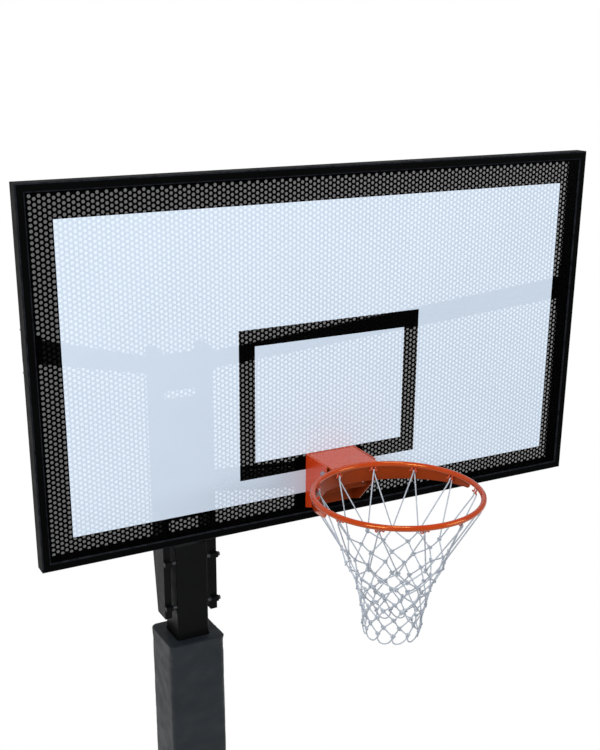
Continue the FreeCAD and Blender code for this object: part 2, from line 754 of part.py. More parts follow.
def make_bracket():
    # A channel: the back lies on the sheet, and the sides reach forward to the hinge pin.
    body = new_body("rim_bracket")
    foot = f"({PLATE_TOP} - bracket_drop)"
    put(body, z=foot)
    plan = new_sketch(body, "bracket_plan", "XY_Plane")
    half, inside = "bracket_wide / 2", CHANNEL_INSIDE
    front, back = f"{PIN_Y} - bracket_past", f"{FACE} - bracket_back_thick"
    add_outline(plan, [(f"-{half}", FACE), (half, FACE), (half, front), (inside, front), (inside, back),
                       (f"-{inside}", back), (f"-{inside}", front), (f"-{half}", front)])
    pad(body, plan, "bracket_drop")
    slope = new_sketch(body, "bracket_slope", "YZ_Plane")
    heel, nose, past = f"{FACE} - bracket_heel", "bracket_drop - bracket_nose", f"{front} - overrun"
    add_outline(slope, [(back, "0"), (heel, "bracket_heel_rise"), (front, nose), (past, nose),
                        (past, "-overrun"), (back, "-overrun")])
    pocket(body, slope)
    bolt_holes = new_sketch(body, "bracket_bolt_holes", "XZ_Plane")
    for x, z in rim_bolt_places():
        add_circle(bolt_holes, "(rim_bolt + hole_slack) / 2", x, f"{z} - {foot}")
    pocket(body, bolt_holes)
    pin_holes = new_sketch(body, "bracket_pin_holes", "YZ_Plane")
    add_circle(pin_holes, "pin_bolt / 2 + pin_play", PIN_Y, f"{PIN_Z} - {foot}")
    pocket(body, pin_holes)
    node(body, "rim_bracket")


def make_bracket_bars():
    stop_front = f"{PIN_Y} + {COIL_RADIUS} + spring_wire / 2 + fit_gap"
    stop = box("spring_stop_bar", f"2 * {CHANNEL_INSIDE}", "stop_bar_thick", "stop_bar_rise",
               f"-{CHANNEL_INSIDE}", stop_front, f"{PIN_Z} - stop_bar_drop - stop_bar_rise")
    node(stop, "spring_stop_bar")
    front = f"{FACE} - bracket_back_thick - rest_bar_reach"
    size_in_plan = ("rest_bar_wide", "rest_bar_reach")
    node(box("rest_bar", *size_in_plan, "rest_bar_thick", "-rest_bar_wide / 2", front, REST_FOOT), "rest_bar")
    buffer = box("rest_buffer", *size_in_plan, "buffer_thick", "-rest_bar_wide / 2", front,
                 f"{PLATE_FOOT} - buffer_thick")
    node(buffer, "rest_buffer")


def make_hinge_pin():
    nut_high = f"pin_bolt * {NUT_HEIGHT_SHARE}"
    length = f"bracket_wide + {nut_high}"
    pin = bolt("hinge_pin", "pin_bolt", length, TURNS["x"], "-bracket_wide / 2", PIN_Y, PIN_Z)
    node(pin, "hinge_pin")
    node(nut("hinge_pin_nut", "pin_bolt", TURNS["x"], "bracket_wide / 2", PIN_Y, PIN_Z), "hinge_pin_nut")


# Rim, moving part


def make_top_plate():
    # The front edge is an arc that follows the ring.
    body = new_body("rim_top_plate")
    put(body, z=PLATE_FOOT)
    plan = new_sketch(body, "top_plate_plan", "XY_Plane")
    half = f"({CHANNEL_INSIDE} - top_plate_play)"
    rear = f"{FACE} - bracket_back_thick - top_plate_gap"
    add_outline(plan, rectangle(f"-{half}", half, f"{RING_Y} + ring_inside / 2", rear))
    pad(body, plan, "top_plate_thick")
    arc = new_sketch(body, "top_plate_arc", "XY_Plane")
    add_circle(arc, f"{RING_RADIUS} + ring_rod / 2 + fit_gap", "0", RING_Y)
    pocket(body, arc)
    node(body, "rim_top_plate")


def make_hinge():
    lugs, bushes = [], []
    reach = f"({CHANNEL_INSIDE} - fit_gap)"
    bush_radius = "(pin_bolt / 2 + pin_play + bush_wall)"
    for side, turn in SIDES:
        x = f"{turn} * ({CHANNEL_INSIDE} - lug_inset) - {(1 + turn) // 2} * lug_thick"
        rise = f"{PLATE_FOOT} - {PIN_Z} + lug_drop"
        lug = box(f"lug_{side}_stock", "lug_thick", "2 * lug_reach", rise, x, f"{PIN_Y} - lug_reach",
                  f"{PIN_Z} - lug_drop")
        bore = cylinder(f"lug_{side}_bore", f"{BARREL_RADIUS} + pin_play", "bracket_wide", "x",
                        "-bracket_wide / 2", PIN_Y, PIN_Z)
        lugs.append(cut(f"lug_{side}", lug, bore))
        x = f"-{reach}" if turn < 0 else f"{reach} - bush_long"
        inner = "pin_bolt / 2 + pin_play"
        bushes.append(pipe(f"bush_{side}", bush_radius, inner, "bush_long", "x", x, PIN_Y, PIN_Z))
    node(group("hinge_lugs", lugs), "hinge_lugs")
    node(group("hinge_bushes", bushes), "hinge_bushes")
    barrel = pipe("hinge_barrel", BARREL_RADIUS, bush_radius, f"2 * {reach}", "x", f"-{reach}", PIN_Y, PIN_Z)
    node(barrel, "hinge_barrel")


def make_ring():
    ring = doc.addObject("Part::Torus", "ring")
    bind(ring, "Radius1", RING_RADIUS)
    bind(ring, "Radius2", "ring_rod / 2")
    node(put(ring, "0", RING_Y, RING_Z), "ring")


def make_band():
    # A strip on edge under the rear half of the ring. Its lower edge rises towards the rounded ends.
    body = new_body("wrap_band")
    put(body, "0", RING_Y, RING_Z)
    section = new_sketch(body, "band_section", "YZ_Plane")
    near, far = (f"{RING_RADIUS} {sign} band_thick / 2" for sign in "-+")
    add_outline(section, rectangle(near, far, "-band_drop", "-ring_rod / 2 - pin_play"))
    strip = body.newObject("PartDesign::Revolution", "band_strip")
    strip.Profile = section
    strip.ReferenceAxis = (section, ["V_Axis"])
    strip.Midplane = True
    strip.Angle = BAND_SWEEP
    slope = new_sketch(body, "band_slope", "YZ_Plane")
    reach, below = f"({RING_RADIUS} + band_thick)", "-band_drop - overrun"
    add_outline(slope, [(f"-{reach}", "band_drop - 2 * band_tip"), (reach, "-band_drop"),
                        (reach, below), (f"-{reach}", below)])
    pocket(body, slope)
    low = -size("ring_rod")
    thick = size("band_thick") + size("fit_gap")
    fillet(body, "band_corners", "band_corner",
           lambda edge: edge.Length < thick and max(v.Z for v in edge.Vertexes) < low)
    node(body, "wrap_band")


def make_hooks():
    # Open loops of wire under the ring's inner side, half a step off the goal's middle.
    hooks = []
    count = round(size("hook_count"))
    step = 360 / count
    for number in range(count):
        angle = step * number + step / 2
        hook = doc.addObject("Part::Torus", f"hook_{number}")
        bind(hook, "Radius1", "hook_loop")
        bind(hook, "Radius2", "hook_wire / 2")
        hook.Angle3 = 360 - HOOK_OPEN
        hook.Placement.Rotation = Rotation(Vector(0, 0, 1), angle) * Rotation(Vector(0, 1, 0), 90)
        x = f"(ring_inside / 2) * cos({angle})"
        y = f"{RING_Y} + (ring_inside / 2) * sin({angle})"
        hooks.append(put(hook, x, y, HOOK_Z))
    node(group("net_hooks", hooks), "net_hooks")


# Net


def net_profile():
    # Drop and radius, from just under the hooks to the lowest loops.
    rod, wire = size("ring_rod") / 2, size("hook_wire")
    seat = math.sqrt((rod + wire / 2 + size("pin_play")) ** 2 - rod ** 2)
    hook_foot = seat + 2 * size("hook_loop") + wire / 2
    ring_radius, drop = size("ring_inside") / 2 + rod, size("net_drop")
    top = (hook_foot + size("fit_gap"), size("ring_inside") / 2)
    return [top] + [(drop * low, ring_radius * wide) for low, wide in NET_PROFILE_SHARES]


def net_radius(profile, drop):
    for (low, wide), (high, narrow) in zip(profile, profile[1:]):
        if drop <= high:
            return wide + (narrow - wide) * (drop - low) / (high - low)
    return profile[-1][1]


def net_gap(angle, up, down, middle, radius, half_step):
    # A diamond prism through the net's wall, set in by half a cord on each side.
    wide = radius * math.sin(half_step)
    inset = size("net_cord") / 2
    upper, lower = (inset * math.hypot(1 / wide, 1 / tall) for tall in (up, down))
    side_z = (lower - upper) / (1 / up + 1 / down)
    side_x = wide * (1 - upper - side_z / up)
    outline = [(0, up * (1 - upper)), (side_x, side_z), (0, down * (lower - 1)), (-side_x, side_z)]
    out = Vector(math.cos(angle), math.sin(angle), 0)
    along = Vector(-math.sin(angle), math.cos(angle), 0)
    corners = [out * (radius / 2) + along * x + Vector(0, 0, middle + z) for x, z in outline]
    return Part.Face(Part.makePolygon(corners + corners[:1])).extrude(out * radius)


def make_net():
    profile = net_profile()
    half = size("net_cord") / 2
    outer = [Vector(radius + half, 0, -low) for low, radius in profile]
    inner = [Vector(radius - half, 0, -low) for low, radius in reversed(profile)]
    wall = Part.Face(Part.makePolygon(outer + inner + outer[:1]))
    sleeve = wall.revolve(Vector(), Vector(0, 0, 1), 360)
    # Rows: the hooks, the rows of knots and the lowest loops. One row is mirrored past each end.
    knots, foot = profile[1][0], profile[-1][0]
    count = round(size("net_rows"))
    rows = [profile[0][0]] + [knots + (foot - knots) * i / count for i in range(count + 1)]
    rows = [2 * rows[0] - rows[1]] + rows + [2 * rows[-1] - rows[-2]]
    across = round(size("hook_count"))
    step = math.tau / across
    gaps = []
    for row, (above, here, below) in enumerate(zip(rows, rows[1:], rows[2:])):
        radius = net_radius(profile, here)
        for i in range(across):
            angle = step * i + step / 2 * (row % 2)
            gaps.append(net_gap(angle, here - above, below - here, -here, radius, step / 2))
    net = doc.addObject("Part::Feature", "net")
    net.Shape = sleeve.cut(Part.makeCompound(gaps))
    put(net, "0", RING_Y, RING_Z)
    node(net, "net")


# Springs


def biarc(start, start_way, end, end_way):
    # Two arcs that leave the start along its way and reach the end along its way.
    across = end - start
    ways = start_way + end_way
    a = 2 * (1 - start_way.dot(end_way))
    b = 2 * across.dot(ways)
    reach = (-b + math.sqrt(b * b + 4 * a * across.dot(across))) / (2 * a)
    corners = [start + start_way * reach, end - end_way * reach]
    middle = (corners[0] + corners[1]) / 2
    return [arc(start, corners[0], middle), arc(middle, corners[1], end)]


def arc(start, corner, end):
    middle = (start + end) / 2
    half_chord = (end - start).Length / 2
    rise = (corner - middle).Length
    sag = half_chord * math.tan(math.atan2(rise, half_chord) / 2)
    return Part.Arc(start, middle + (corner - middle) * (sag / rise), end).toShape()


def coil_point(angle, radius, pitch, turn):
    # The coil starts at the top and winds rearwards and down, away from the goal's middle.
    place = Vector(turn * pitch * angle / math.tau, radius * math.sin(angle), radius * math.cos(angle))
    way = Vector(turn * pitch / math.tau, radius * math.cos(angle), -radius * math.sin(angle))
    return place, way.normalize()


def least_self_gap(points, wire):
    # Points that lie near each other along the wire don't count.
    near = math.pi * wire
    gap = float("inf")
    for i, (first, first_run) in enumerate(points):
        for second, second_run in points[i + 1:]:
            if second_run - first_run > near:
                gap = min(gap, first.distanceToPoint(second) - wire)
    return gap


def make_springs():
    wire = size("spring_wire")
    pitch = wire + size("spring_gap")
    barrel = size("pin_bolt") / 2 + size("pin_play") + size("bush_wall") + size("barrel_wall")
    radius = barrel + size("coil_clear") + wire / 2
    quarters = 4 * round(size("spring_turns")) + 1
    for side, turn in SIDES:
        stops = [coil_point(math.pi / 2 * i, radius, pitch, turn) for i in range(quarters + 1)]
        first, first_way = stops[0]
        last, last_way = stops[-1]
        tip = first - first_way * size("spring_front_leg")
        edges = [Part.LineSegment(tip, first).toShape()]
        for (start, start_way), (end, end_way) in zip(stops, stops[1:]):
            edges += biarc(start, start_way, end, end_way)
        edges.append(Part.LineSegment(last, last + last_way * size("spring_rear_leg")).toShape())
        path = Part.Wire(edges)
        shell = Part.BRepOffsetAPI.MakePipeShell(path)
        shell.add(Part.Wire(Part.makeCircle(wire / 2, tip, first_way)))
        shell.build()
        shell.makeSolid()
        spring = doc.addObject("Part::Feature", f"spring_{side}")
        spring.Shape = shell.shape()
        put(spring, f"{turn} * {SPRING_INNER_END}", PIN_Y, PIN_Z)
        node(spring, f"spring_{side}")
        steps = round(path.Length / wire)
        points, run = [], 0
        for place in path.discretize(Number=steps):
            run += place.distanceToPoint(points[-1][0]) if points else 0
            points.append((place, run))
        expected = math.pi * wire * wire / 4 * path.Length
        print(f"spring_{side}: least gap to itself {least_self_gap(points, wire):.2f} mm,",
              f"volume {spring.Shape.Volume / expected:.4f} of section times length")


def check_and_write():
    doc.recompute()
    for obj in doc.Objects:
        if {"Invalid", "Error"} & set(obj.State):
            raise ValueError(f"{obj.Label} failed: {obj.State}")
    for obj in nodes:
        if obj.Shape.isNull() or not obj.Shape.isValid() or not obj.Shape.Solids:
            raise ValueError(f"{obj.Label} has no valid solid")
    os.makedirs("parts", exist_ok=True)
    for obj in nodes:
        obj.Shape.exportStep(f"parts/{obj.Label}.step")
    print(len(nodes), "nodes written")


fill_sheet()
make_frame()
make_sheet()
make_clips()
make_base()
make_post()
make_post_cap()
make_pad()
make_mast()
make_mast_plates()
make_mast_fixings()
make_upper_arms()
make_arm_ends()
make_lower_arms()
make_rim_mount()
make_bracket()
make_bracket_bars()
make_hinge_pin()
make_top_plate()
make_hinge()
make_ring()
make_band()
make_hooks()
make_net()
make_springs()
check_and_write()
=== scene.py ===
import bpy
import bmesh
import math
import random
from mathutils import Matrix, Vector, noise


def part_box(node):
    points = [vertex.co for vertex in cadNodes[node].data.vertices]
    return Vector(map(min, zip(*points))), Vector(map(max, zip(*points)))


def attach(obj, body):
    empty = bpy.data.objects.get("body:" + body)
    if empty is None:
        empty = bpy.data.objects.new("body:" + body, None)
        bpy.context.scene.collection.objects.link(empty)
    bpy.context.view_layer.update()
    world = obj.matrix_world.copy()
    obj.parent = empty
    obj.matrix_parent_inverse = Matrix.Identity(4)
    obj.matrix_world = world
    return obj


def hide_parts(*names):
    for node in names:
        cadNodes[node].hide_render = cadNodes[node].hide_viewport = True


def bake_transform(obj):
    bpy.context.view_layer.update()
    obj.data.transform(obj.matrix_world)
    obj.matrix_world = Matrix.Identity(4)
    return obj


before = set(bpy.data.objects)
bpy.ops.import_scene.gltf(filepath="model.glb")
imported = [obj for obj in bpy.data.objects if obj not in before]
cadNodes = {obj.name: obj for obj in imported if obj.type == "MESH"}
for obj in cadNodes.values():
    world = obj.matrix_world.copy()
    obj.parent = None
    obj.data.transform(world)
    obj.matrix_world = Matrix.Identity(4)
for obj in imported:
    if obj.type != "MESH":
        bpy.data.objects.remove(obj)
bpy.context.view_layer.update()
scene = bpy.context.scene
scene.view_settings.view_transform = "Standard"
dice = random.Random(7)
print("frame loaded:", len(cadNodes), "nodes")


# small tools for finishes

def addNode(tree, kind, **settings):
    made = tree.nodes.new("ShaderNode" + kind)
    for key, value in settings.items():
        setattr(made, key, value)
    return made


def newFinish(name, sockets):
    finish = bpy.data.materials.new(name)
    finish.use_nodes = True
    shader = finish.node_tree.nodes["Principled BSDF"]
    for socket, value in sockets.items():
        shader.inputs[socket].default_value = value
    return finish, finish.node_tree, shader


def spot(tree, stretch=(1, 1, 1)):
    place = addNode(tree, "TexCoord")
    scaled = addNode(tree, "Mapping")
    scaled.inputs["Scale"].default_value = stretch
    tree.links.new(place.outputs["Object"], scaled.inputs["Vector"])
    return scaled.outputs["Vector"]


def speckle(tree, scale, detail=3, roughness=0.5, stretch=(1, 1, 1)):
    cloud = addNode(tree, "TexNoise")
    cloud.inputs["Scale"].default_value = scale
    cloud.inputs["Detail"].default_value = detail
    cloud.inputs["Roughness"].default_value = roughness
    tree.links.new(spot(tree, stretch), cloud.inputs["Vector"])
    return cloud.outputs["Fac"]


def spread(tree, source, fromLow, fromHigh, toLow, toHigh):
    made = addNode(tree, "MapRange")
    limits = {"From Min": fromLow, "From Max": fromHigh, "To Min": toLow, "To Max": toHigh}
    for socket, value in limits.items():
        made.inputs[socket].default_value = value
    tree.links.new(source, made.inputs["Value"])
    return made.outputs["Result"]


def sums(tree, operation, first, second, third=None):
    made = addNode(tree, "Math", operation=operation)
    for number, value in enumerate((first, second, third)):
        if isinstance(value, (int, float)):
            made.inputs[number].default_value = value
        elif value is not None:
            tree.links.new(value, made.inputs[number])
    return made.outputs["Value"]


def shades(tree, amount, first, second):
    made = addNode(tree, "Mix", data_type="RGBA")
    tree.links.new(amount, made.inputs["Factor"])
    for socket, value in ((made.inputs[6], first), (made.inputs[7], second)):
        if isinstance(value, tuple):
            socket.default_value = (*value, 1)
        else:
            tree.links.new(value, socket)
    return made.outputs[2]


def relief(tree, shader, height, depth, strength=1.0):
    bump = addNode(tree, "Bump")
    bump.inputs["Strength"].default_value = strength
    bump.inputs["Distance"].default_value = depth
    tree.links.new(height, bump.inputs["Height"])
    tree.links.new(bump.outputs["Normal"], shader.inputs["Normal"])


def edgeWearAndHighlight(tree, low=0.42, high=0.62):
    # 1 on the rolled edges that softened() marks, broken up by a coarse noise; the lighter colour put there
    # is partly edge wear and partly painted highlight
    edge = addNode(tree, "Attribute", attribute_name="rolledEdge").outputs["Fac"]
    return sums(tree, "MULTIPLY", edge, spread(tree, speckle(tree, 60, 4), low, high, 0, 1))


# finishes

def coatedSteel(name, look):
    # baked powder coat: fine orange peel, patchy gloss, dust, and lighter rolled edges that are partly rubbed
    # wear and partly painted highlight
    finish, tree, shader = newFinish(name, {"Specular IOR Level": look["shine"]})
    patches = speckle(tree, 3.5, 4, 0.6)
    body = shades(tree, spread(tree, patches, 0.3, 0.7, 0, 1), look["deep"], look["pale"])
    body = shades(tree, edgeWearAndHighlight(tree, *look["wearAndHighlight"]), body, look["rubbedAndLit"])
    tree.links.new(body, shader.inputs["Base Color"])
    low, high = look["roughness"]
    tree.links.new(spread(tree, speckle(tree, 25, 5), 0.3, 0.7, low, high), shader.inputs["Roughness"])
    relief(tree, shader, speckle(tree, look["peel"], 2), 0.0002, look["peelDepth"])
    return finish


blackLook = {"deep": (0.0028, 0.0029, 0.0031), "pale": (0.0046, 0.0048, 0.0051),
             "rubbedAndLit": (0.016, 0.017, 0.019), "wearAndHighlight": (0.42, 0.62),
             "roughness": (0.30, 0.44), "shine": 0.05, "peel": 700, "peelDepth": 0.25}
blackCoat = coatedSteel("blackCoat", blackLook)
# the frame's lighter rolled edges spread wider than on the other black parts: partly wear, partly a painted
# highlight along the tube edges
frameLook = {"deep": (0.0016, 0.0016, 0.0018), "pale": (0.0026, 0.0027, 0.0030),
             "rubbedAndLit": (0.013, 0.0148, 0.019), "wearAndHighlight": (0.20, 0.60),
             "roughness": (0.26, 0.38), "shine": 0.006, "peel": 700, "peelDepth": 0.25}
frameCoat = coatedSteel("frameCoat", frameLook)


def glossy(name, look):
    # the same coat with a tinted shine
    finish = coatedSteel(name, look)
    finish.node_tree.nodes["Principled BSDF"].inputs["Specular Tint"].default_value = (*look["tint"], 1)
    return finish


orangeLook = {"deep": (0.41, 0.036, 0.006), "pale": (0.47, 0.048, 0.009),
              "rubbedAndLit": (0.60, 0.14, 0.04), "wearAndHighlight": (0.42, 0.62), "tint": (1.0, 0.92, 0.80),
              "roughness": (0.20, 0.32), "shine": 0.65, "peel": 900, "peelDepth": 0.12}
ringLook = {**orangeLook, "deep": (0.37, 0.028, 0.003), "pale": (0.43, 0.037, 0.005),
            "tint": (1.0, 0.60, 0.18), "roughness": (0.11, 0.16), "shine": 0.8, "peelDepth": 0.10}
# painted light: a brighter copy of the orange coat for the bracket's outer faces, standing in for more light
# on them
bracketPaintedLightLook = {**orangeLook, "deep": (0.49, 0.036, 0.005), "pale": (0.56, 0.046, 0.008)}
# painted shade: a darker copy of the orange coat for the inward and front-facing faces of the bracket and
# band, and for the parts inside the bracket
shadedInnerLook = {**orangeLook, "deep": (0.20, 0.024, 0.003), "pale": (0.26, 0.032, 0.004),
             "rubbedAndLit": (0.40, 0.10, 0.03), "tint": (1.0, 0.6, 0.3), "roughness": (0.35, 0.50), "shine": 0.2}
orangeCoat = glossy("orangeGloss", orangeLook)
ringCoat = glossy("ringGloss", ringLook)
bracketPaintedLightCoat = glossy("bracketPaintedLightGloss", bracketPaintedLightLook)
shadedInnerCoat = glossy("paintedShadeOrange", shadedInnerLook)

zincLook = {"deep": (0.34, 0.36, 0.40), "pale": (0.58, 0.60, 0.65), "roughness": (0.28, 0.46)}
# painted shade: a much darker copy of the zinc plating, for the mast's fixings, which sit in shade between
# mast and post
shadedZincLook = {"deep": (0.030, 0.031, 0.035), "pale": (0.085, 0.088, 0.10), "roughness": (0.40, 0.58)}


def plating(name, look):
    finish, tree, shader = newFinish(name, {"Metallic": 1.0})
    spangle = speckle(tree, 120, 6, 0.7)
    tree.links.new(shades(tree, spread(tree, spangle, 0.3, 0.7, 0, 1), look["deep"], look["pale"]),
                   shader.inputs["Base Color"])
    low, high = look["roughness"]
    tree.links.new(spread(tree, speckle(tree, 300, 4), 0.3, 0.7, low, high), shader.inputs["Roughness"])
    relief(tree, shader, speckle(tree, 900, 3), 0.0001, 0.3)
    return finish


zinc = plating("zincPlate", zincLook)
shadedZinc = plating("shadedZinc", shadedZincLook)

brassLook = {"deep": (0.42, 0.25, 0.08), "pale": (0.66, 0.44, 0.18)}


def bushBrass():
    finish, tree, shader = newFinish("bushBrass", {"Metallic": 1.0})
    stain = speckle(tree, 160, 5, 0.6, (0.2, 1, 1))
    tree.links.new(shades(tree, stain, brassLook["deep"], brassLook["pale"]), shader.inputs["Base Color"])
    tree.links.new(spread(tree, stain, 0.3, 0.7, 0.25, 0.45), shader.inputs["Roughness"])
    relief(tree, shader, speckle(tree, 1200, 2, 0.5, (0.05, 1, 1)), 0.00005, 0.4)
    return finish


brass = bushBrass()

rubberLook = {"deep": (0.012, 0.012, 0.012), "pale": (0.03, 0.03, 0.029)}


def bufferRubber():
    finish, tree, shader = newFinish("bufferRubber", {"Specular IOR Level": 0.3})
    bloom = speckle(tree, 90, 5, 0.65)
    tree.links.new(shades(tree, bloom, rubberLook["deep"], rubberLook["pale"]), shader.inputs["Base Color"])
    tree.links.new(spread(tree, bloom, 0.3, 0.7, 0.65, 0.85), shader.inputs["Roughness"])
    relief(tree, shader, speckle(tree, 1500, 2), 0.0001, 0.5)
    return finish


rubber = bufferRubber()

cordLook = {"deep": (0.14, 0.16, 0.19), "pale": (0.52, 0.57, 0.64)}


def netCord():
    sockets = {"Roughness": 0.8, "Sheen Weight": 0.25, "Specular IOR Level": 0.2}
    finish, tree, shader = newFinish("netCord", sockets)
    strands = addNode(tree, "TexWave", wave_type="BANDS", bands_direction="DIAGONAL")
    strands.inputs["Scale"].default_value = 170
    strands.inputs["Distortion"].default_value = 2.5
    tree.links.new(spot(tree), strands.inputs["Vector"])
    soil = speckle(tree, 22, 4, 0.6)
    lay = spread(tree, strands.outputs["Fac"], 0, 1, 0.72, 1)
    fleck = sums(tree, "MULTIPLY", lay, spread(tree, soil, 0.25, 0.6, 0.7, 1))
    tree.links.new(shades(tree, fleck, cordLook["deep"], cordLook["pale"]), shader.inputs["Base Color"])
    relief(tree, shader, strands.outputs["Fac"], 0.0006, 0.7)
    return finish


cordFinish = netCord()

vinylLook = {"deep": (0.0095, 0.0125, 0.0160), "pale": (0.0150, 0.0190, 0.0235),
             "scuffAndHighlight": (0.040, 0.043, 0.047), "grain": 420,
             "creaseStretch": (1.3, 1.3, 1.8), "creaseDepth": 110.0}


def padVinyl():
    finish, tree, shader = newFinish("padVinyl", {"Specular IOR Level": 0.22})
    grain = addNode(tree, "TexVoronoi", feature="SMOOTH_F1")
    grain.inputs["Scale"].default_value = vinylLook["grain"]
    tree.links.new(spot(tree), grain.inputs["Vector"])
    patches = speckle(tree, 5, 5, 0.6, (1, 1, 2.2))
    body = shades(tree, spread(tree, patches, 0.32, 0.68, 0, 1), vinylLook["deep"], vinylLook["pale"])
    # lighter rolled edges where softened() marks them: partly scuffs, partly painted highlight
    body = shades(tree, edgeWearAndHighlight(tree), body, vinylLook["scuffAndHighlight"])
    tree.links.new(body, shader.inputs["Base Color"])
    tree.links.new(spread(tree, speckle(tree, 18, 4), 0.3, 0.7, 0.42, 0.58), shader.inputs["Roughness"])
    # soft creases on front and back, none on the tighter sides
    facing = addNode(tree, "SeparateXYZ")
    tree.links.new(addNode(tree, "NewGeometry").outputs["Normal"], facing.inputs["Vector"])
    frontOnly = sums(tree, "ABSOLUTE", facing.outputs["Y"], 0)
    creases = sums(tree, "MULTIPLY", speckle(tree, 6, 1, 0.4, vinylLook["creaseStretch"]), frontOnly)
    height = sums(tree, "MULTIPLY_ADD", creases, vinylLook["creaseDepth"], grain.outputs["Distance"])
    relief(tree, shader, height, 0.0005, 0.6)
    return finish


vinyl = padVinyl()


# small tools for meshes

def addPiece(name, verts, faces, finish, smooth=38):
    mesh = bpy.data.meshes.new(name)
    mesh.from_pydata(verts, [], faces)
    mesh.update()
    mesh.shade_smooth()
    mesh.set_sharp_from_angle(angle=math.radians(smooth))
    mesh.materials.append(finish)
    piece = bpy.data.objects.new(name, mesh)
    scene.collection.objects.link(piece)
    return piece


def settle(piece, body, *nodes):
    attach(piece, body)
    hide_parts(*nodes)


def addTo(heap, verts, faces):
    start = len(heap[0])
    heap[0].extend(verts)
    heap[1].extend([tuple(start + i for i in face) for face in faces])


def joinRings(count, sides, closed):
    # faces between each ring of points and the next
    faces = []
    for i in range(count if closed else count - 1):
        low, high = i * sides, ((i + 1) % count) * sides
        for k in range(sides):
            nextK = (k + 1) % sides
            faces.append((low + k, low + nextK, high + nextK, high + k))
    return faces


def backAndWalls(fronts, count):
    # the far side, whose points follow the near ones, and a wall on every open edge
    used = {}
    for face in fronts:
        for a, b in zip(face, face[1:] + face[:1]):
            used[(a, b)] = True
    walls = [(b, a, a + count, b + count) for a, b in used if (b, a) not in used]
    backs = [tuple(i + count for i in reversed(face)) for face in fronts]
    return walls + backs


def tube(points, radius, sides, closed=False):
    # rings carried along the line without twisting, with domed ends where it is open
    points = [Vector(p) for p in points]
    count = len(points)
    ways = []
    for i in range(count):
        before = points[i - 1] if closed or i else points[i]
        after = points[(i + 1) % count] if closed or i < count - 1 else points[i]
        ways.append((after - before).normalized())
    side = ways[0].orthogonal().normalized()
    verts = []
    for i in range(count):
        if i:
            side = ways[i - 1].rotation_difference(ways[i]) @ side
        side = (side - ways[i] * side.dot(ways[i])).normalized()
        up = ways[i].cross(side)
        for k in range(sides):
            turn = math.tau * k / sides
            verts.append(points[i] + (side * math.cos(turn) + up * math.sin(turn)) * radius)
    faces = joinRings(count, sides, closed)
    if not closed:
        verts += [points[0] - ways[0] * radius * 0.5, points[-1] + ways[-1] * radius * 0.5]
        last = (count - 1) * sides
        for k in range(sides):
            nextK = (k + 1) % sides
            faces.append((nextK, k, count * sides))
            faces.append((last + k, last + nextK, count * sides + 1))
    return verts, faces


def curveThrough(points, steps):
    # smooth line through the points
    points = [Vector(p) for p in points]
    ends = [2 * points[0] - points[1]] + points + [2 * points[-1] - points[-2]]
    line = []
    for a, b, c, d in zip(ends, ends[1:], ends[2:], ends[3:]):
        for i in range(steps):
            t = i / steps
            line.append(0.5 * (2 * b + (c - a) * t + (2 * a - 5 * b + 4 * c - d) * t * t
                               + (3 * b - a - 3 * c + d) * t ** 3))
    return line + [points[-1]]


def roundLongEdges(shape, nodeName, radius, marks):
    # the outer corners that run along a rolled tube
    low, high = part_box(nodeName)
    outer = []
    for edge in shape.edges:
        middle = (edge.verts[0].co + edge.verts[1].co) / 2
        onFaces = sum(min(abs(middle[i] - low[i]), abs(middle[i] - high[i])) < 0.0001 for i in range(3))
        if onFaces >= 2 and edge.calc_length() > 0.3:
            outer.append(edge)
    made = bmesh.ops.bevel(shape, geom=outer, offset=radius, segments=5, profile=0.5, affect="EDGES",
                           clamp_overlap=True)
    for face in made["faces"]:
        face[marks] = 1


def softened(nodeName, width, finish, body="stand", steps=3, tubeCorner=0):
    # the CAD shape with its sharp edges rolled or ground round
    shape = bmesh.new()
    shape.from_mesh(cadNodes[nodeName].data)
    bmesh.ops.remove_doubles(shape, verts=shape.verts, dist=0.00002)
    bmesh.ops.dissolve_limit(shape, angle_limit=math.radians(0.6), verts=shape.verts, edges=shape.edges)
    marks = shape.faces.layers.int.new("rolled")
    if tubeCorner:
        roundLongEdges(shape, nodeName, tubeCorner, marks)
    sharp = [e for e in shape.edges if len(e.link_faces) == 2 and e.calc_face_angle() > math.radians(35)]
    rolled = bmesh.ops.bevel(shape, geom=sharp, offset=width, segments=steps, profile=0.5, affect="EDGES",
                             clamp_overlap=True)
    shape.verts.index_update()
    shape.faces.index_update()
    verts = [v.co.copy() for v in shape.verts]
    faces = [[v.index for v in f.verts] for f in shape.faces]
    for face in rolled["faces"]:
        face[marks] = 1
    wearAndHighlight = [float(f[marks]) for f in shape.faces]
    shape.free()
    piece = addPiece(nodeName + "Shown", verts, faces, finish)
    rolledEdge = piece.data.attributes.new("rolledEdge", "FLOAT", "FACE")
    rolledEdge.data.foreach_set("value", wearAndHighlight)
    weighted = piece.modifiers.new("evenNormals", "WEIGHTED_NORMAL")
    weighted.keep_sharp = True
    settle(piece, body, nodeName)
    return piece


# board

target = 2.9972  # height of the square's lower edge
filmLook = {"white": (0.72, 0.83, 0.97), "whiteSoiled": (0.69, 0.80, 0.94), "whiteCover": (0.82, 0.745),
            "black": (0.0006, 0.0006, 0.0007), "blackSoiled": (0.0014, 0.0014, 0.0015),
            "blackCover": (0.86, 0.78)}


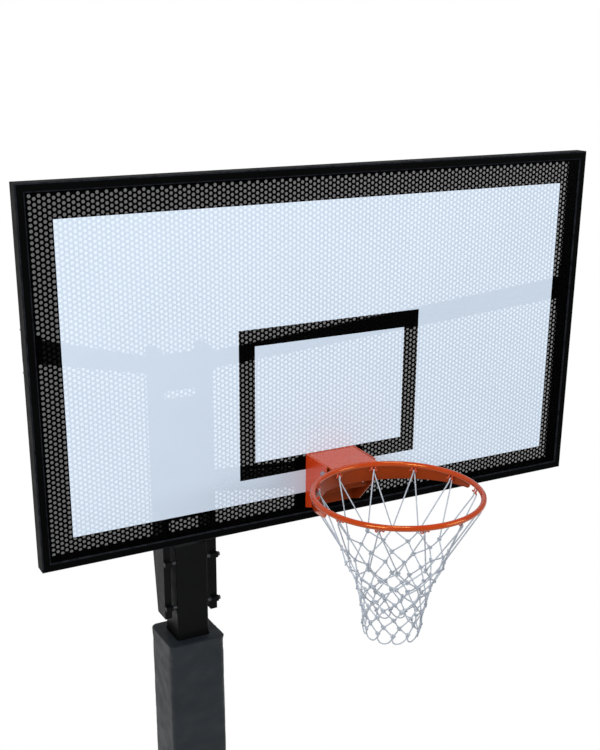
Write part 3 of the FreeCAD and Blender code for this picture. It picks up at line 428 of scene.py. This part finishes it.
def printedFilm(name, clean, soiled, cover):
    # skin over the holes that lets some light through, more of it towards the right
    finish, tree, shader = newFinish(name, {"Specular IOR Level": 0.01})
    across = addNode(tree, "SeparateXYZ")
    tree.links.new(spot(tree), across.inputs["Vector"])
    tree.links.new(spread(tree, across.outputs["X"], -0.9, 0.9, *cover), shader.inputs["Alpha"])
    soil = spread(tree, speckle(tree, 2.5, 5, 0.6), 0.35, 0.7, 0, 1)
    tree.links.new(shades(tree, soil, clean, soiled), shader.inputs["Base Color"])
    tree.links.new(spread(tree, speckle(tree, 30, 4), 0.3, 0.7, 0.45, 0.62), shader.inputs["Roughness"])
    relief(tree, shader, speckle(tree, 800, 2), 0.0001, 0.2)
    return finish


def clearBack():
    # the film's unprinted side
    finish, tree, shader = newFinish("clearBack", {"Specular IOR Level": 0.0, "Alpha": 0.0})
    tree.links.new(spread(tree, speckle(tree, 40, 3), 0.3, 0.7, 0.5, 0.7), shader.inputs["Roughness"])
    return finish


sheetPiece = {"pitch": 0.0147, "hole": 0.0098, "sides": 12, "columns": 139, "strips": 5, "film": 0.0003}
paintPiece = {"fieldHalf": 0.8206, "fieldFoot": target - 0.0744, "fieldTop": target + 0.808,
              "squareHalf": 0.3048, "squareTop": target + 0.4572, "line": 0.0508}


def columnSpan(number):
    # left side, middle and right side of one column of holes
    step = sheetPiece["pitch"] * math.cos(math.radians(30))
    x = (number - (sheetPiece["columns"] - 1) / 2) * step
    return x - step / 2, x, x + step / 2


def holeRows(low, high):
    # how many rows fit, and the height where the first one begins
    rows = int((high.z - low.z) / sheetPiece["pitch"])
    return rows, (low.z + high.z - rows * sheetPiece["pitch"]) / 2


def holeCells(number, low, high):
    # each hole is cut from an oblong cell, in six patches
    pitch, sides, radius = sheetPiece["pitch"], sheetPiece["sides"], sheetPiece["hole"] / 2
    left, x, right = columnSpan(number)
    rows, start = holeRows(low, high)
    odd = number % 2
    turns = [math.tau * k / sides for k in range(sides)]
    patches = []
    for row in range(rows - odd):
        z = start + pitch * (row + 0.5 + odd / 2)
        foot, top = z - pitch / 2, z + pitch / 2
        cell = [(right, z), (right, top), (left, top), (left, z), (left, foot), (right, foot)]
        hole = [(x + radius * math.cos(turn), z + radius * math.sin(turn)) for turn in turns]
        for k in range(6):
            ends = hole[(2 * k + 2) % sides], hole[2 * k + 1], hole[2 * k]
            patches.append((cell[k], cell[(k + 1) % 6], *ends))
    return patches


def plainEdges(number, low, high):
    # what is left of the sheet above, below and beside a column's cells
    left, _, right = columnSpan(number)
    rows, start = holeRows(low, high)
    half, end = sheetPiece["pitch"] / 2, start + rows * sheetPiece["pitch"]
    spans = [(left, right, low.z, start), (left, right, end, high.z)]
    if number % 2:
        spans += [(left, right, start, start + half), (left, right, end - half, end)]
    heights = [low.z] + [start + half * i for i in range(2 * rows + 1)] + [high.z]
    for foot, top in zip(heights, heights[1:]):
        if number == 0:
            spans.append((low.x, left, foot, top))
        if number == sheetPiece["columns"] - 1:
            spans.append((right, high.x, foot, top))
    return [((a, foot), (b, foot), (b, top), (a, top)) for a, b, foot, top in spans]


def sheetStrip(name, firstColumn, lastColumn):
    low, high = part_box("perforated_sheet")
    low.y += sheetPiece["film"]
    flat, index, fronts = [], {}, []
    for number in range(firstColumn, lastColumn):
        for patch in holeCells(number, low, high) + plainEdges(number, low, high):
            face = []
            for x, z in patch:
                key = (round(x * 1e6), round(z * 1e6))  # neighbours share their corners
                if key not in index:
                    index[key] = len(flat)
                    flat.append((x, z))
                face.append(index[key])
            fronts.append(face)
    verts = [(x, y, z) for y in (low.y, high.y) for x, z in flat]
    piece = addPiece(name, verts, fronts + backAndWalls(fronts, len(flat)), frameCoat, 20)
    settle(piece, "stand", "perforated_sheet")


def isWhite(x, z):
    # white field inside the border, but for the lines of the square
    half, line = paintPiece["squareHalf"], paintPiece["line"]
    foot, top = target, paintPiece["squareTop"]
    field = abs(x) < paintPiece["fieldHalf"] and paintPiece["fieldFoot"] < z < paintPiece["fieldTop"]
    square = abs(x) < half and foot < z < top
    inside = abs(x) < half - line and foot + line < z < top - line
    return field and (inside or not square)


def makeFilm():
    low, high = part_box("perforated_sheet")
    half, line, top = paintPiece["squareHalf"], paintPiece["line"], paintPiece["squareTop"]
    rights = [half - line, half, paintPiece["fieldHalf"], high.x]
    across = [-x for x in reversed(rights)] + rights
    inField = [target, target + line, top - line, top]
    up = [low.z, paintPiece["fieldFoot"], *inField, paintPiece["fieldTop"], high.z]
    verts = [(x, y, z) for y in (low.y, low.y + sheetPiece["film"]) for x in across for z in up]
    rows, count = len(up), len(across) * len(up)
    fronts, tones = [], []
    for i in range(len(across) - 1):
        for k in range(rows - 1):
            a, b = i * rows + k, (i + 1) * rows + k
            fronts.append((a, b, b + 1, a + 1))
            tones.append(0 if isWhite((across[i] + across[i + 1]) / 2, (up[k] + up[k + 1]) / 2) else 1)
    prints = []
    for tone in ("white", "black"):
        clean, soiled, cover = filmLook[tone], filmLook[tone + "Soiled"], filmLook[tone + "Cover"]
        prints.append(printedFilm(tone + "Print", clean, soiled, cover))
    film = addPiece("printedSkin", verts, fronts + backAndWalls(fronts, count), prints[0])
    film.data.materials.append(prints[1])
    film.data.materials.append(clearBack())
    for polygon in film.data.polygons:
        polygon.material_index = tones[polygon.index] if polygon.index < len(fronts) else 2
    settle(film, "stand", "perforated_sheet")


def makeSheet():
    each = math.ceil(sheetPiece["columns"] / sheetPiece["strips"])
    for number in range(sheetPiece["strips"]):
        last = min((number + 1) * each, sheetPiece["columns"])
        sheetStrip(f"sheetStrip{number + 1}", number * each, last)
    makeFilm()
    print("sheet: strips", sheetPiece["strips"])


makeSheet()


# painted steel of the frame, the arms, the mast, the post and its base

frameTubes = {"nodes": ("frame_top_tube", "frame_bottom_tube", "frame_left_tube", "frame_right_tube"),
              "corner": 0.004, "mitre": 0.0008}
steelEdges = {"upper_arm_left": 0.003, "upper_arm_right": 0.003,
              "lower_arm_left": 0.003, "lower_arm_right": 0.003,
              "arm_left_end_plate": 0.001, "arm_right_end_plate": 0.001, "rim_mount_plate": 0.001,
              "mast_left_tube": 0.0028, "mast_right_tube": 0.0028, "mast_caps": 0.001,
              "mast_head_plate": 0.001, "mast_web_plate": 0.001, "mast_tie_plate": 0.001, "mast_ears": 0.001,
              "post_tube": 0.001, "post_cap": 0.0012, "base_plate": 0.0015, "base_gussets": 0.001}
for nodeName in frameTubes["nodes"]:
    softened(nodeName, frameTubes["mitre"], frameCoat, tubeCorner=frameTubes["corner"])
softened("sheet_clips", 0.0006, frameCoat)
for nodeName, width in steelEdges.items():
    softened(nodeName, width, blackCoat)
print("black steel:", len(frameTubes["nodes"]) + len(steelEdges), "pieces")


# fixings

zincEdges = {"arm_end_bolts": 0.0007, "arm_end_nuts": 0.0007, "rim_nuts": 0.0007, "rim_washers": 0.0004,
             "hinge_pin": 0.0009, "hinge_pin_nut": 0.0009}
# the mast's fixings take the darker, painted-shade copy of the zinc
mastEdges = {"mast_bolts": 0.0008, "mast_spacers": 0.0004, "mast_washers": 0.0004}
for nodeName, width in zincEdges.items():
    softened(nodeName, width, zinc)
for nodeName, width in mastEdges.items():
    softened(nodeName, width, shadedZinc)
softened("rest_buffer", 0.0008, rubber)
softened("hinge_bushes", 0.0003, brass, "rim")
print("fixings:", len(zincEdges) + len(mastEdges), "pieces, with the buffer and the bushes")


# rim

def paintShadeInside(channel):
    # painted shade: the faces turned towards the middle of the channel and those facing the front take a
    # darker copy of the orange coat
    channel.data.materials.append(shadedInnerCoat)
    for face in channel.data.polygons:
        towardsMiddle = face.normal.x * face.center.x < -0.0005
        if towardsMiddle or face.normal.y < -0.3:
            face.material_index = 1


# painted shade: the bars, bolts, lugs and barrel inside the bracket take the darker copy of the orange coat
shadedInnerEdges = {"spring_stop_bar": ("stand", 0.0008), "rest_bar": ("stand", 0.0008),
              "rim_bolts": ("stand", 0.0007),
              "hinge_lugs": ("rim", 0.0010), "hinge_barrel": ("rim", 0.0004)}
paintShadeInside(softened("rim_bracket", 0.0012, bracketPaintedLightCoat))
softened("rim_top_plate", 0.0010, orangeCoat, "rim")
for nodeName, (bodyName, width) in shadedInnerEdges.items():
    softened(nodeName, width, shadedInnerCoat, bodyName)

ringPiece = {"centre": Vector((0, -1.581, 3.040)), "radius": 0.2366, "rod": 0.016, "around": 192, "sides": 28}


def onRing(angle, radius, z=0.0):
    turn = math.radians(angle)
    return ringPiece["centre"] + Vector((radius * math.cos(turn), radius * math.sin(turn), z))


def makeRing():
    points = [onRing(360 * i / ringPiece["around"], ringPiece["radius"]) for i in range(ringPiece["around"])]
    ring = addPiece("hoop", *tube(points, ringPiece["rod"] / 2, ringPiece["sides"], True), ringCoat, 60)
    settle(ring, "rim", "ring")


bandPiece = {"from": -3, "sweep": 186, "steps": 180, "thick": 0.005, "top": -0.0081, "rear": 0.051,
             "tip": 0.024, "corner": 0.010, "cornerSteps": 14, "edge": 0.0012}
weldPiece = {"radius": 0.0022, "z": -0.0087, "out": 0.0006, "wave": 0.0003, "inset": 2, "steps": 160}


def bandRuns():
    # stops along the band, closer together where its lower corners curve up
    corner, cornerSteps, steps = bandPiece["corner"], bandPiece["cornerSteps"], bandPiece["steps"]
    fullRun = math.radians(bandPiece["sweep"]) * ringPiece["radius"]
    first = [corner * (1 - math.cos(math.pi / 2 * i / cornerSteps)) for i in range(cornerSteps)]
    middle = [corner + (fullRun - 2 * corner) * i / steps for i in range(steps + 1)]
    return first + middle + [fullRun - run for run in reversed(first)]


def bandSection(run, fullRun):
    half, edge, corner = bandPiece["thick"] / 2, bandPiece["edge"], bandPiece["corner"]
    angle = bandPiece["from"] + math.degrees(run / ringPiece["radius"])
    near = min(run, fullRun - run, corner)
    # the lower edge rises from the rear to the ends
    drop = bandPiece["tip"] + (bandPiece["rear"] - bandPiece["tip"]) * math.sin(math.radians(angle))
    foot = -drop + corner - math.sqrt(max(0, corner ** 2 - (corner - near) ** 2))
    outer = [(half, bandPiece["top"]), (half, foot + edge),
             (half - edge * 0.3, foot + edge * 0.3), (half - edge, foot)]
    inner = [(-out, z) for out, z in reversed(outer)]
    return [onRing(angle, ringPiece["radius"] + out, z) for out, z in outer + inner]


def weldBead(side):
    # wavy bead between band and ring, inside for -1 and outside for 1
    begin, sweep = bandPiece["from"] + weldPiece["inset"], bandPiece["sweep"] - 2 * weldPiece["inset"]
    bead = []
    for i in range(weldPiece["steps"] + 1):
        away = bandPiece["thick"] / 2 + weldPiece["out"] + weldPiece["wave"] * math.sin(i * 2.1)
        angle = begin + sweep * i / weldPiece["steps"]
        bead.append(onRing(angle, ringPiece["radius"] + side * away, weldPiece["z"]))
    return tube(bead, weldPiece["radius"], 8)


def makeBand():
    runs = bandRuns()
    verts = []
    for run in runs:
        verts += bandSection(run, runs[-1])
    sides = len(verts) // len(runs)
    faces = joinRings(len(runs), sides, False)
    faces.append(tuple(reversed(range(sides))))
    faces.append(tuple(range(len(verts) - sides, len(verts))))
    heap = (verts, faces)
    for side in (-1, 1):
        addTo(heap, *weldBead(side))
    band = addPiece("wrapBand", heap[0], heap[1], ringCoat)
    # painted shade: faces turned towards the ring's middle take the darker copy of the orange coat
    band.data.materials.append(shadedInnerCoat)
    for face in band.data.polygons:
        if face.normal.dot(face.center - ringPiece["centre"]) < 0:
            face.material_index = 1
    settle(band, "rim", "wrap_band")


# each hook is one bent wire: a curled left end, the bight that holds the cord, and a flared right end
hookPiece = {"count": 12, "radius": 0.2286, "z": -0.0122, "wire": 0.0019,
             "curl": ((-0.0078, 0.0012, -0.0022), (-0.0098, -0.0030, -0.0010), (-0.0076, -0.0062, 0.0004),
                      (-0.0046, -0.0040, 0.0010), (-0.0042, 0.0020, 0.0012), (-0.0050, 0.0064, 0.0022)),
             "bight": ((-0.0058, 0.0040, 0.0018), (-0.0046, -0.0020, 0.0006), (0.0, -0.0062, 0.0),
                       (0.0046, -0.0020, -0.0006), (0.0056, 0.0030, 0.0006)),
             "flare": ((0.0062, 0.0062, 0.0020), (0.0076, 0.0020, 0.0010), (0.0094, -0.0024, -0.0004),
                       (0.0122, -0.0034, -0.0016), (0.0140, -0.0004, -0.0022))}


def hookFrame(number):
    turn = math.radians(15 + 30 * number)
    out = Vector((math.cos(turn), math.sin(turn), 0))
    along = Vector((-math.sin(turn), math.cos(turn), 0))
    middle = ringPiece["centre"] + out * hookPiece["radius"] + Vector((0, 0, hookPiece["z"]))
    return middle, along, out


def makeHooks():
    shape = hookPiece["curl"] + hookPiece["bight"] + hookPiece["flare"]
    heap = ([], [])
    for number in range(hookPiece["count"]):
        middle, along, out = hookFrame(number)
        line = [middle + along * a + out * c + Vector((0, 0, b)) for a, b, c in shape]
        addTo(heap, *tube(curveThrough(line, 4), hookPiece["wire"], 8))
    hooks = addPiece("netHooks", heap[0], heap[1], orangeCoat, 60)
    settle(hooks, "rim", "net_hooks")


makeRing()
makeBand()
makeHooks()
print("rim made")


# net: knotted cord, hung from the hooks

netPiece = {"cord": 0.0040, "knot": 0.0031, "lean": (0.0068, 0.0161), "leanFrom": 0.02, "twist": -4.0,
            "stray": 0.0016, "sag": 0.0012,
            "bight": ((0.0034, -0.0022, -0.0130), (0.0032, -0.0006, -0.0050), (0, 0, -0.0016),
                      (-0.0032, 0.0006, -0.0050), (-0.0034, 0.0022, -0.0130)),
            "radii": (0.1507, 0.1406, 0.1271, 0.1099, 0.1048, 0.0964, 0.0934, 0.0869, 0.0843, 0.0803),
            "drops": (0.1732, 0.2078, 0.2379, 0.2654, 0.2978, 0.3253, 0.3515, 0.3827, 0.4107, 0.4393)}


def knotPlace(row, number):
    drop = netPiece["drops"][row]
    angle = 30 * number if row % 2 == 0 else 30 * number + 15 + netPiece["twist"]
    share = (drop - netPiece["leanFrom"]) / (netPiece["drops"][-1] - netPiece["leanFrom"])
    lean = Vector((*netPiece["lean"], 0)) * share
    return onRing(angle, netPiece["radii"][row], -drop) + lean


def strayKnots():
    knots = {}
    for row in range(len(netPiece["radii"])):
        for number in range(hookPiece["count"]):
            stray = Vector([dice.uniform(-1, 1) for _ in range(3)]) * netPiece["stray"]
            knots[(row, number)] = knotPlace(row, number) + stray
    return knots


def topLoop(number, knots):
    # up from a knot of the first row, through the hook's bight and down to the next knot
    middle, along, out = hookFrame(number)
    left, right = knots[(0, number)], knots[(0, (number + 1) % hookPiece["count"])]
    bight = [middle + out * a + along * b + Vector((0, 0, c)) for a, b, c in netPiece["bight"]]
    line = [left + (bight[0] - left) * i / 6 for i in range(6)] + bight
    line += [bight[-1] + (right - bight[-1]) * i / 6 for i in range(1, 7)]
    return curveThrough(line, 2)


def saggingCord(start, end):
    middle = (start + end) / 2 + Vector((0, 0, -netPiece["sag"]))
    return curveThrough([start, middle, end], 5)


def lowLoop(number, knots):
    # lowest loops hang between neighbours of the last row of knots
    last = len(netPiece["radii"]) - 2
    left, right = knots[(last, number)], knots[(last, (number + 1) % hookPiece["count"])]
    hang = knots[(last + 1, number)] - (left + right) / 2
    line = []
    for i in range(13):
        turn = math.pi * i / 12
        line.append(left.lerp(right, (1 - math.cos(turn)) / 2) + hang * math.sin(turn) ** 0.9)
    return line


def knotLine(place):
    # a small trefoil that faces outward, each turned a little differently
    out = place - ringPiece["centre"]
    out.z = 0
    spin = Matrix.Rotation(dice.uniform(-0.5, 0.5), 4, "Z").to_quaternion()
    turned = out.to_track_quat("Z", "Y") @ spin
    line = []
    for i in range(30):
        t = math.tau * i / 30
        across, up = math.sin(t) + 2 * math.sin(2 * t), math.cos(t) - 2 * math.cos(2 * t)
        bend = Vector((across, up, -0.9 * math.sin(3 * t)))
        line.append(place + turned @ (bend * netPiece["knot"] * 0.72))
    return line


def makeNet():
    count, rows, thick = hookPiece["count"], len(netPiece["radii"]), netPiece["cord"] / 2
    knots = strayKnots()
    lines = [topLoop(number, knots) for number in range(count)]
    for row in range(rows - 2):
        for number in range(count):
            first = number - 1 if row % 2 == 0 else number
            for other in (first % count, (first + 1) % count):
                lines.append(saggingCord(knots[(row, number)], knots[(row + 1, other)]))
    lines += [lowLoop(number, knots) for number in range(count)]
    heap = ([], [])
    for line in lines:
        addTo(heap, *tube(line, thick, 8))
    for (row, _), place in knots.items():
        if row < rows - 1:
            addTo(heap, *tube(knotLine(place), thick * 0.98, 7, True))
    net = addPiece("knottedNet", heap[0], heap[1], cordFinish, 80)
    settle(net, "rim", "net")
    print("net:", len(heap[1]), "faces")


makeNet()


# springs, which wind up as the rim tips

springPiece = {"pin": Vector((0, -1.3144, 3.0210)), "radius": 0.0167, "wire": 0.006, "pitch": 0.0068,
               "turns": 4.25, "inner": 0.030, "frontLeg": 0.018, "rearLeg": 0.058, "stepsPerTurn": 40}


def coilPoints(turn):
    radius, pitch = springPiece["radius"], springPiece["pitch"]
    steps = round(springPiece["turns"] * springPiece["stepsPerTurn"])
    start = springPiece["pin"] + Vector((turn * springPiece["inner"], 0, 0))
    coil = []
    for i in range(steps + 1):
        angle = math.tau * springPiece["turns"] * i / steps
        out = turn * pitch * angle / math.tau
        coil.append(start + Vector((out, radius * math.sin(angle), radius * math.cos(angle))))
    return coil


def makeSpring(side, turn):
    coil = coilPoints(turn)
    firstWay = (coil[1] - coil[0]).normalized()
    lastWay = (coil[-1] - coil[-2]).normalized()
    line = [coil[0] - firstWay * springPiece["frontLeg"] * (1 - i / 8) for i in range(8)] + coil
    line += [coil[-1] + lastWay * springPiece["rearLeg"] * i / 16 for i in range(1, 17)]
    spring = addPiece(f"spring{side.capitalize()}", *tube(line, springPiece["wire"] / 2, 14), zinc, 60)
    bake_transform(spring)
    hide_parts(f"spring_{side}")


makeSpring("left", -1)
makeSpring("right", 1)
print("springs made")


# pad round the post

padPiece = {"corner": 0.024, "edge": 0.009, "edgeSteps": 6, "hole": 0.0703, "postCorner": 0.010,
            "levels": 150, "perSide": 16, "perCorner": 8,
            "stripMargin": 0.008, "heldEnd": 0.004, "fade": 0.05,
            "slack": 0.0003, "wrinkle": 0.0030, "pressure": 4.0, "spare": 0.012, "cap": 0.005, "frames": 20}


def roundedOutline(halfX, halfY, radius):
    # points anticlockwise from the middle of the right side, each with its outward way
    radius = max(radius, 0.0005)
    points = []
    for quarter, (signX, signY) in enumerate(((1, 1), (-1, 1), (-1, -1), (1, -1))):
        middle = Vector((signX * (halfX - radius), signY * (halfY - radius), 0))
        for i in range(padPiece["perCorner"] + 1):
            turn = math.pi / 2 * (quarter + i / padPiece["perCorner"])
            way = Vector((math.cos(turn), math.sin(turn), 0))
            points.append((middle + way * radius, way))
        nextCorner = ((-1, 1), (-1, -1), (1, -1), (1, 1))[quarter]
        end = Vector((nextCorner[0] * (halfX - radius), nextCorner[1] * (halfY - radius), 0)) + way * radius
        begin = points[-1][0]
        for i in range(1, padPiece["perSide"]):
            points.append((begin.lerp(end, i / padPiece["perSide"]), way))
    return points


def swell(pad, held, limit):
    # the cover is cut a little larger than its foam, and air pressure fills it out
    start = [v.co.copy() for v in pad.data.vertices]
    pad.vertex_groups.new(name="held").add(held, 1.0, "REPLACE")
    cloth = pad.modifiers.new("swell", "CLOTH")
    cloth.settings.vertex_group_mass = "held"
    cloth.settings.use_pressure = True
    cloth.settings.uniform_pressure_force = padPiece["pressure"]
    cloth.settings.shrink_min = -padPiece["spare"]
    cloth.settings.effector_weights.gravity = 0
    cloth.collision_settings.use_collision = False
    cloth.point_cache.frame_end = padPiece["frames"]
    for number in range(1, padPiece["frames"] + 1):
        scene.frame_set(number)
    filled = pad.evaluated_get(bpy.context.evaluated_depsgraph_get()).data
    for vert, old, new in zip(pad.data.vertices, start, [v.co.copy() for v in filled.vertices]):
        move = new - old
        move.length = min(move.length, padPiece["cap"])
        vert.co = old + move
        vert.co.x = max(-limit.x, min(limit.x, vert.co.x))
        vert.co.y = max(-limit.y, min(limit.y, vert.co.y))
    moves = [(v.co - old).length for v, old in zip(pad.data.vertices, start)]
    pad.modifiers.remove(cloth)
    pad.data.update()
    scene.frame_set(1)
    print("pad filled, mean move in mm:", round(1000 * sum(moves) / len(moves), 2))


def padStops(low, high):
    # up the outside, over the top, down the hole and back under the foot: inset, height, share of the way in
    edge, steps, levels = padPiece["edge"], padPiece["edgeSteps"], padPiece["levels"]
    straight = high.z - low.z - 2 * edge
    turns = [math.pi / 2 * i / steps for i in range(steps + 1)]
    shares = (0.25, 0.5, 0.75, 0.95)
    stops = [(edge * (1 - math.sin(turn)), low.z + edge * (1 - math.cos(turn)), 0) for turn in turns]
    stops += [(0, low.z + edge + straight * i / levels, 0) for i in range(1, levels)]
    stops += [(edge * (1 - math.cos(turn)), high.z - edge * (1 - math.sin(turn)), 0) for turn in turns]
    stops += [(edge, high.z, share) for share in shares]
    stops += [(edge, high.z - 0.002, 1), (edge, (low.z + high.z) / 2, 1), (edge, low.z + 0.002, 1)]
    stops += [(edge, low.z, share) for share in reversed(shares)]
    return stops


def creaseDepth(place, way):
    x, y, z = place
    fold = noise.noise(Vector((x * 5 + 3, y * 5, z * 17 + x * 6)))
    fine = noise.noise(Vector((x * 9, y * 9 + 7, z * 46 + x * 14)))
    loose = 0.25 + 0.75 * abs(way.y)  # the sides are drawn tighter than front and back
    return padPiece["slack"] + loose * padPiece["wrinkle"] * max(0, 0.75 * fold + 0.45 * fine)


def makePad():
    low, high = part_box("post_pad")
    inner = roundedOutline(padPiece["hole"], padPiece["hole"], padPiece["postCorner"])
    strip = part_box("pad_closure")[1].x + padPiece["stripMargin"]
    stops = padStops(low, high)
    verts, held = [], []
    for inset, z, share in stops:
        ring = roundedOutline(high.x - inset, high.y - inset, padPiece["corner"] - inset * 0.5)
        toEnd = min(z - low.z, high.z - z)
        near = min(1, max(0, (toEnd - padPiece["heldEnd"]) / padPiece["fade"]))
        for (point, way), (holePoint, _) in zip(ring, inner):
            place = point.lerp(holePoint, share)
            place.z = z
            underStrip = way.y > 0.9 and abs(place.x) < strip
            if share > 0 or near == 0 or underStrip:
                held.append(len(verts))
            else:
                place -= way * near * creaseDepth(place, way)
            verts.append(place)
    pad = addPiece("postPad", verts, joinRings(len(stops), len(inner), True), vinyl, 70)
    swell(pad, held, Vector((high.x, high.y, 0)))
    pad.modifiers.new("finer", "SUBSURF").render_levels = 1
    settle(pad, "stand", "post_pad")
    softened("pad_closure", 0.0006, vinyl)
    print("pad made")


makePad()


# floor, light and camera

stagePiece = {"half": 40, "floor": (0.55, 0.55, 0.55), "world": (1.0, 1.0, 1.0), "worldLight": 0.42}


def seenBy(tree, *rays):
    # 1 for the named kinds of ray
    path = addNode(tree, "LightPath")
    seen = path.outputs["Is Camera Ray"]
    for ray in rays:
        seen = sums(tree, "MAXIMUM", seen, path.outputs[ray])
    return seen


def makeFloor():
    half = stagePiece["half"]
    finish, tree, shader = newFinish("paleFloor", {"Roughness": 0.9, "Specular IOR Level": 0.1})
    cloud = spread(tree, speckle(tree, 1.5, 5), 0.3, 0.7, 0.97, 1)
    tone = addNode(tree, "Mix", data_type="RGBA", blend_type="MULTIPLY")
    tone.inputs["Factor"].default_value = 1
    tone.inputs[6].default_value = (*stagePiece["floor"], 1)
    tree.links.new(cloud, tone.inputs[7])
    tree.links.new(tone.outputs[2], shader.inputs["Base Color"])
    glow = addNode(tree, "Emission")
    far = addNode(tree, "VectorMath", operation="LENGTH")
    tree.links.new(spot(tree), far.inputs[0])
    fade = spread(tree, far.outputs["Value"], 0.3, 1.4, 0.25, 1)
    mixed = addNode(tree, "MixShader")
    seen = seenBy(tree, "Is Glossy Ray", "Is Transmission Ray")
    tree.links.new(sums(tree, "MULTIPLY", seen, fade), mixed.inputs["Fac"])
    tree.links.new(shader.outputs["BSDF"], mixed.inputs[1])
    tree.links.new(glow.outputs["Emission"], mixed.inputs[2])
    tree.links.new(mixed.outputs["Shader"], tree.nodes["Material Output"].inputs["Surface"])
    corners = [(-half, -half, 0), (half, -half, 0), (half, half, 0), (-half, half, 0)]
    floor = addPiece("floor", corners, [(0, 1, 2, 3)], finish)


def makeWorld():
    world = bpy.data.worlds.new("softRoom")
    world.use_nodes = True
    scene.world = world
    tree = world.node_tree
    lit = tree.nodes["Background"]
    lit.inputs["Color"].default_value = (*stagePiece["world"], 1)
    lit.inputs["Strength"].default_value = stagePiece["worldLight"]
    plain = addNode(tree, "Background")
    plain.inputs["Color"].default_value = (1, 1, 1, 1)
    mixed = addNode(tree, "MixShader")
    tree.links.new(seenBy(tree, "Is Transmission Ray"), mixed.inputs["Fac"])
    tree.links.new(lit.outputs["Background"], mixed.inputs[1])
    tree.links.new(plain.outputs["Background"], mixed.inputs[2])
    tree.links.new(mixed.outputs["Shader"], tree.nodes["World Output"].inputs["Surface"])


lampPieces = {"leftSoftbox": {"at": (-7.5, -6.0, 7.5), "to": (0, -1.0, 3.0), "size": 4.0, "watts": 625},
              "rightSoftbox": {"at": (4.5, -6.0, 5.0), "to": (0, -1.2, 3.2), "size": 3.0, "watts": 165},
              "overhead": {"at": (-0.2, -2.2, 7.0), "to": (0, -1.5, 3.0), "size": 1.1, "watts": 55}}


def makeLamps():
    for name, lamp in lampPieces.items():
        light = bpy.data.lights.new(name, "AREA")
        light.size = lamp["size"]
        light.energy = lamp["watts"]
        holder = bpy.data.objects.new(name, light)
        holder.location = lamp["at"]
        holder.rotation_euler = (Vector(lamp["to"]) - Vector(lamp["at"])).to_track_quat("-Z", "Y").to_euler()
        scene.collection.objects.link(holder)


cameraPiece = {"at": (-1.6321, -4.0335, 4.2459), "tilt": 70.83, "turn": -27.04, "lens": 54.51,
               "shiftX": 0.032, "shiftY": 0.0733}


def makeCamera():
    lens = bpy.data.cameras.new("photoView")
    lens.lens = cameraPiece["lens"]
    lens.sensor_width = 36
    lens.shift_x = cameraPiece["shiftX"]
    lens.shift_y = cameraPiece["shiftY"]
    camera = bpy.data.objects.new("photoView", lens)
    camera.location = cameraPiece["at"]
    camera.rotation_euler = (math.radians(cameraPiece["tilt"]), 0, math.radians(cameraPiece["turn"]))
    scene.collection.objects.link(camera)
    scene.camera = camera


makeFloor()
makeWorld()
makeLamps()
makeCamera()
print("stage set")
